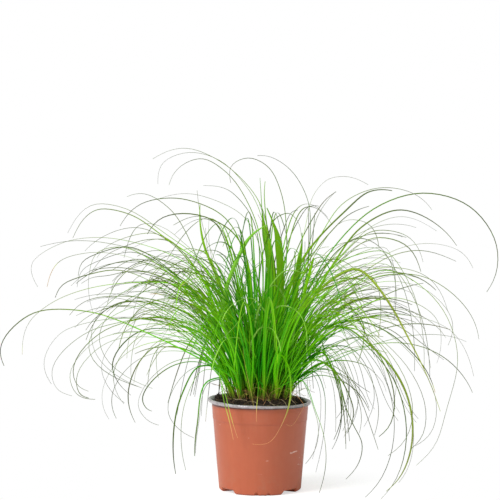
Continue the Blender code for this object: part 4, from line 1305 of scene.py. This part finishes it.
def bladeRings(paths, widths, upper, share, form):
    # A leaf's breadth lies square to its reach, and turns towards the front by its share of facing
    reach = paths[:, 2 * paths.shape[1] // 3] - paths[:, 0]
    square = np.stack([reach[:, 1], -reach[:, 0], 0 * reach[:, 0]], axis=-1) + np.array([1e-4, 0.0, 0.0])
    square /= np.linalg.norm(square, axis=1)[:, None]
    front = np.sign(square[:, :1]) * np.array([1.0, 0.0, 0.0])
    across, over = frameAlong(paths, square + form["facing"][:, None] * (front - square))
    turn = (form["twist"][:, None] * share**1.5)[..., None]
    across, over = across * np.cos(turn) + over * np.sin(turn), over * np.cos(turn) - across * np.sin(turn)
    sheath = bladeForm["sheathWidth"]
    opened = sheath + (1.0 - sheath) * np.clip(share / form["opensBy"][:, None], 0.0, 1.0)
    start, stop = form["narrowFrom"][:, None], form["narrowBy"][:, None]
    kept = np.clip((stop - share) / (stop - start), 0.0, 1.0)
    kept = kept * kept * (3.0 - 2.0 * kept)
    endFrom, endBy, endPower = bladeForm["end"]
    end = 1.0 - endBy * np.clip((share - endFrom) / (1.0 - endFrom), 0.0, 1.0) ** endPower
    half = 0.5 * opened * end * (upper[:, None] + (widths - upper)[:, None] * kept)
    half = np.maximum(half, 0.5 * form["hair"][:, None])[..., None]
    steep, flat, flatFrom = bladeForm["fold"]
    fold = (steep + (flat - steep) * np.clip(share / flatFrom, 0.0, 1.0))[..., None]
    sideways, lift = half * np.cos(fold) * across, half * np.sin(fold) * over
    thickest, most = bladeForm["thickness"]
    thick = np.minimum(thickest, most * half) * over
    corners = [paths - sideways + lift, paths - thick, paths + sideways + lift, paths + 0.5 * thick]
    return np.stack(corners, axis=2)


def shareAlong(paths):
    lengths = np.linalg.norm(np.diff(paths, axis=1), axis=2)
    total = np.concatenate([np.zeros((len(paths), 1)), np.cumsum(lengths, axis=1)], axis=1)
    return total / total[:, -1:]


bladeLooks = {
    "limeReach": (50.0, 90.0),  # side reach where leaves start to turn lime, and range
    "tones": (0.14, 0.72, 0.28),  # mean tone in the middle and out there, and spread
    "darkEnds": (90.0, 170.0, 80.0),  # distance from the tuft's middle where ends darken, its height, range
    "leastDark": 0.1,
    "lowEnds": (130.0, 60.0, 2.0),  # height under which ends darken more, range, how much
    "strawAge": 0.2,
    "brownTips": 0.05,  # share of the leaves
    "tipSpan": (0.03, 0.12),
    "tipRange": (0.06, 0.7),  # share of the length over which a tip browns, and how far
    "dryRange": 0.3,
}


def blades(paths, widths, upper, dryness, chance, olden=False, **given):
    # Rings, UV places and tints of a set of leaves, with what is given in place of the usual form. In a
    # tint, red is the leaf's tone, green how dry it is there (below zero: how pale its painted sheen is),
    # blue its age, and alpha how dark its end gets
    count, stations = paths.shape[:2]
    share = shareAlong(paths)
    form = {name: np.broadcast_to(given.get(name, value), count) for name, value in usualForm.items()}
    form["twist"] = chance.normal(0.0, 1.0, size=count) * form["twist"]
    rings = bladeRings(paths, widths, upper, share, form)

    # Leaves that reach out to the sides are more lime than the upright ones
    limeFrom, limeRange = bladeLooks["limeReach"]
    low, high, spread = bladeLooks["tones"]
    mean = low + (high - low) * np.clip((np.abs(paths[:, -1, 0]) - limeFrom) / limeRange, 0.0, 1.0)
    tone = np.clip(chance.normal(mean, spread), 0.0, 1.0)
    tone = np.where(form["tone"] < 0, tone, form["tone"])
    age = chance.uniform(0.0, 1.0, size=count)
    age = 0.5 + 0.5 * age if olden else np.where(dryness != 0, bladeLooks["strawAge"] * age, age)

    # A few tips are brown, and a dry leaf dries from its own share on
    browned = (chance.uniform(0.0, 1.0, size=count) < bladeLooks["brownTips"]) & (form["tone"] < 0)
    span = np.where(browned, chance.uniform(*bladeLooks["tipSpan"], size=count), 0.0)[:, None]
    tipRange, brownest = bladeLooks["tipRange"]
    tip = np.clip((share - 1.0 + span) / tipRange, 0.0, brownest) * (span > 0)
    late = np.clip((share - form["dryFrom"][:, None]) / bladeLooks["dryRange"], 0.0, 1.0)
    dry = np.clip(tip + dryness[:, None] * (1.0 if olden else late), -1.0, 1.0)

    # Ends far from the tuft's middle darken, and low ones more
    darkFrom, middle, darkRange = bladeLooks["darkEnds"]
    away = np.hypot(paths[:, -1, 0], paths[:, -1, 2] - middle)
    darkness = np.clip((away - darkFrom) / darkRange, bladeLooks["leastDark"], 1.0)
    lowFrom, lowRange, more = bladeLooks["lowEnds"]
    darkness = darkness + more * np.clip((lowFrom - paths[:, -1, 2]) / lowRange, 0.0, 1.0)
    darkness = np.where(form["darkEnd"] < 0, darkness, form["darkEnd"])

    tint = np.empty((count, stations, 4, 4))
    for channel, value in enumerate((tone[:, None], dry, age[:, None], darkness[:, None])):
        tint[..., channel] = value[..., None]
    places = np.empty((count, stations, 4, 2))
    places[..., 0] = (0.0, 0.5, 1.0, 0.5)
    places[..., 1] = share[..., None]
    return rings, places, tint


leafLooks = {
    # From a pale sheath through full green to a thin olive tip, in two hues that each leaf's tone blends
    "deep": ((0.0, (0.09, 0.065, 0.022)), (0.06, (0.07, 0.22, 0.006)), (0.16, (0.010, 0.28, 0.001)),
             (0.44, (0.014, 0.27, 0.001)), (0.60, (0.045, 0.21, 0.003)), (0.76, (0.062, 0.118, 0.010)),
             (1.0, (0.052, 0.057, 0.028))),
    "light": ((0.0, (0.24, 0.18, 0.06)), (0.06, (0.36, 0.58, 0.012)), (0.16, (0.15, 0.69, 0.002)),
              (0.44, (0.24, 0.74, 0.004)), (0.60, (0.32, 0.68, 0.010)), (0.76, (0.21, 0.31, 0.018)),
              (1.0, (0.10, 0.105, 0.048))),
    "cloudColour": (0.18, 0.48, 0.008),
    "veinColour": (0.012, 0.16, 0.001),
    "midribColour": (0.18, 0.54, 0.010),
    "paleSheenColour": (0.34, 0.64, 0.10),
    "fleckColour": (0.30, 0.17, 0.06),
    "yellowing": (0.42, 0.50, 0.07),
    "youngStraw": (0.66, 0.31, 0.135),
    "oldStraw": (0.13, 0.075, 0.032),
    "veins": 44.0,
}


def leafMaterial():
    material, tree, shader = startMaterial("leaf_blade", 0.45, 0.08)
    place = addNode(tree, "ShaderNodeUVMap", {"uv_map": "along"}).outputs[0]
    inSpace = objectPlace(tree)
    parts = addNode(tree, "ShaderNodeSeparateXYZ", Vector=place).outputs
    across, along = parts[0], parts[1]
    tint = addNode(tree, "ShaderNodeAttribute", {"attribute_name": "tint"}).outputs
    tones = addNode(tree, "ShaderNodeSeparateColor", Color=tint["Color"]).outputs
    tone, dry, age = tones[0], tones[1], tones[2]
    # Leaves that end over the tuft stay green to the tip, and those that end far out darken early
    ends = maths(tree, "MULTIPLY_ADD", tint["Alpha"], 0.5, 0.5)
    sooner = maths(tree, "MULTIPLY_ADD", tint["Alpha"], 0.1, 1.0)
    along = maths(tree, "MINIMUM", maths(tree, "MULTIPLY", along, sooner), ends)
    deep, light = (colourRamp(tree, along, leafLooks[name]) for name in ("deep", "light"))
    colour = mixColours(tree, tone, deep, light)
    cloud = useGroup(tree, "mottle", inSpace, Scale=55.0, Contrast=2.4)
    colour = mixColours(tree, stretch(tree, cloud, 0.55, 0.95, 0.0, 0.2), colour, leafLooks["cloudColour"])
    # Veins run the length of the blade, with a paler midrib
    veins = maths(tree, "SINE", maths(tree, "MULTIPLY", across, leafLooks["veins"]))
    colour = mixColours(tree, stretch(tree, veins, -1.0, 1.0, 0.0, 0.22), colour, leafLooks["veinColour"])
    fromMiddle = maths(tree, "ABSOLUTE", maths(tree, "SUBTRACT", across, 0.5))
    midrib = stretch(tree, fromMiddle, 0.02, 0.09, 0.3, 0.0)
    colour = mixColours(tree, midrib, colour, leafLooks["midribColour"])
    # Leaves that catch the light are pale where their dryness is below zero
    colour = mixColours(tree, stretch(tree, dry, -1.0, 0.0, 0.75, 0.0), colour, leafLooks["paleSheenColour"])
    # Brown flecks, and the dry ends
    flecks = useGroup(tree, "dust", inSpace, Scale=420.0, Amount=maths(tree, "MULTIPLY", age, 0.5))
    colour = mixColours(tree, flecks, colour, leafLooks["fleckColour"])
    straw = mixColours(tree, age, leafLooks["youngStraw"], leafLooks["oldStraw"])
    colour = mixColours(tree, stretch(tree, dry, 0.0, 0.4), colour, leafLooks["yellowing"])
    colour = mixColours(tree, stretch(tree, dry, 0.35, 0.85), colour, straw)
    join(tree, shader.inputs["Base Color"], colour)
    join(tree, shader.inputs["Roughness"], maths(tree, "MULTIPLY_ADD", dry, 0.3, 0.42))
    addBump(tree, shader, maths(tree, "MULTIPLY_ADD", veins, 0.5, cloud), 0.25, 0.0002)
    return material


def withStem(shoot, curve, stations):
    # The curve again, with the stem's stretch before it, evenly spaced and smoothed where they join
    shifted = bladeForm["footShift"] * (curve[0] - shoot["top"])
    foot = shoot["foot"] - fineLeaves["rootDepth"] * upward + shifted
    steps = np.linspace(0.0, 1.0, bladeForm["stemSteps"] + 1)[:-1, None]
    whole = np.concatenate([foot + (curve[0] - foot) * steps, curve])
    path = evenly(whole, stations, bends=bladeForm["stemBends"])
    for again in range(bladeForm["smoothings"]):
        path[1:-1] = 0.5 * path[1:-1] + 0.25 * (path[:-2] + path[2:])
    return path


def strongSet(shoot, chance):
    # The shoot's strong and loose leaves, each in its own form
    own = shoot["curves"] + shoot["loose"]
    paths = np.array([withStem(shoot, curve, bladeForm["strongStations"]) for leaf, curve in own])
    form = {}
    for name, value in strongForm.items():
        form[name] = np.array([leaf.get(name, value) for leaf, curve in own])
    peak, thinner, usual = bladeForm["strongUpper"]
    thinned = np.where(paths[..., 2].max(axis=1) > peak, thinner, usual)
    upper = form["width"] * np.where(form["broad"] > 0, 1.0, thinned)
    least, share = bladeForm["strongWidth"]
    widths = np.where(form["broad"] > 0, form["broad"], share * upper + least)
    return blades(paths, widths, upper, form["dry"], chance, **form)


def fineSet(shoot, chance):
    # The fine leaves of the shoot, and those beside its strong leaves
    curves = np.array([withStem(shoot, curve, fineLeaves["stations"]) for leaf, curve in shoot["curves"]])
    paths = np.concatenate([growFineLeaves(shoot, chance), growSiblings(curves, chance)])
    widths = chance.uniform(*fineLeaves["width"], size=len(paths))
    least, share = fineLeaves["upperWidth"]
    return blades(paths, widths, least + share * widths, np.zeros(len(paths)), chance)


# Short old scales that clasp each stem
footScales = {
    "count": 5,
    "stations": 7,
    "tall": (6.0, 18.0),
    "from": 1.5,
    "out": (0.5, 3.5),
    "power": 1.6,
    "width": (1.4, 3.0),
    "dry": 0.9,
}


def scaleSet(shoot, chance):
    count = footScales["count"]
    angle = chance.uniform(0.0, 2 * np.pi, size=(count, 1))
    s = np.linspace(0.0, 1.0, footScales["stations"])
    height = chance.uniform(*footScales["tall"], size=(count, 1)) * s - fineLeaves["rootDepth"]
    out = chance.uniform(*footScales["out"], size=(count, 1)) * s ** footScales["power"]
    paths = shoot["foot"] + polar(footScales["from"] + out, angle, height)
    widths = chance.uniform(*footScales["width"], size=count)
    return blades(paths, widths, 0.5 * widths, np.full(count, footScales["dry"]), chance, olden=True)


# Short dead leaves and leaf ends among the shoots' feet, in the same form as the fine leaves
oldLeaves = {
    "count": 170,
    "radius": 38.0,
    "headingSpread": 1.2,
    "rise": (15.0, 82.0),
    "length": (8.0, 42.0),
    "droop": (-20.0, 80.0),
    "power": (0.9, 2.0),
    "waves": (14.0, 4.0, 14.0),
    "width": (0.4, 1.2),
    "dry": (0.35, 1.0),
    "soilRadius": 48.0,
    "lowest": 102.0,
}


def oldSet(chance):
    count = oldLeaves["count"]
    radius, angle = scattered(count, oldLeaves["radius"], 0.0, chance)
    start = polar(radius, angle, tuft["crownHeight"] - fineLeaves["rootDepth"])
    heading = angle + chance.normal(0.0, oldLeaves["headingSpread"], size=count)
    rise, length, droop, power = (
        chance.uniform(*oldLeaves[name], size=count) for name in ("rise", "length", "droop", "power")
    )
    waves = randomWaves(count, *oldLeaves["waves"], chance)
    drift = chance.normal(0.0, oldLeaves["headingSpread"], size=count)
    paths = finePaths(start, rise, droop, power, length, heading, drift, waves)
    x, y, z = np.moveaxis(paths, -1, 0)
    overLip = ((np.hypot(x, y) > oldLeaves["soilRadius"]) & (z < roomyLimits["lipHeight"])).any(axis=1)
    paths = paths[~overLip & (z.min(axis=1) > oldLeaves["lowest"])][:, ::3]
    widths = chance.uniform(*oldLeaves["width"], size=len(paths))
    dry = chance.uniform(*oldLeaves["dry"], size=len(paths))
    return blades(paths, widths, 0.5 * widths, dry, chance, olden=True)


def joinSets(name, sets, material):
    # One piece of several sets of leaves, each as rings, UV places and tints
    shifts = np.cumsum([0] + [len(rings) * rings.shape[1] * 4 for rings, places, tint in sets])
    faces = [strandFaces(*rings.shape[:3]) + shift for (rings, places, tint), shift in zip(sets, shifts)]
    points, places, tint = (
        np.concatenate([one[k].reshape(-1, one[k].shape[-1]) for one in sets]) for k in range(3)
    )
    return newPiece(name, points, np.concatenate(faces), [material], bladeForm["smooth"], places, tint)


def buildShoots(chance):
    material = leafMaterial()
    shoots = shareOut(listStrongLeaves())
    growStrongLeaves(shoots)
    print("stage: strong leaves placed,", sum(len(shoot["curves"]) for shoot in shoots))
    shareLooseLeaves(shoots)
    total = 0
    for n, shoot in enumerate(shoots):
        sets = [strongSet(shoot, chance), fineSet(shoot, chance), scaleSet(shoot, chance)]
        node = f"shoot_{n + 1:02d}"
        placePiece(joinSets(node + "_leaves", sets, material), node)
        total += sum(len(rings) for rings, places, tint in sets)
    placePiece(joinSets("old_leaves", [oldSet(chance)], material))
    print("stage: leaves and scales made,", total)


buildStudio()
mottleGroup()
dustGroup()
grainGroup()
chance = np.random.default_rng(20)
buildPot()
print("stage: pot made")
buildSoil(chance)
print("stage: soil made")
buildShoots(chance)
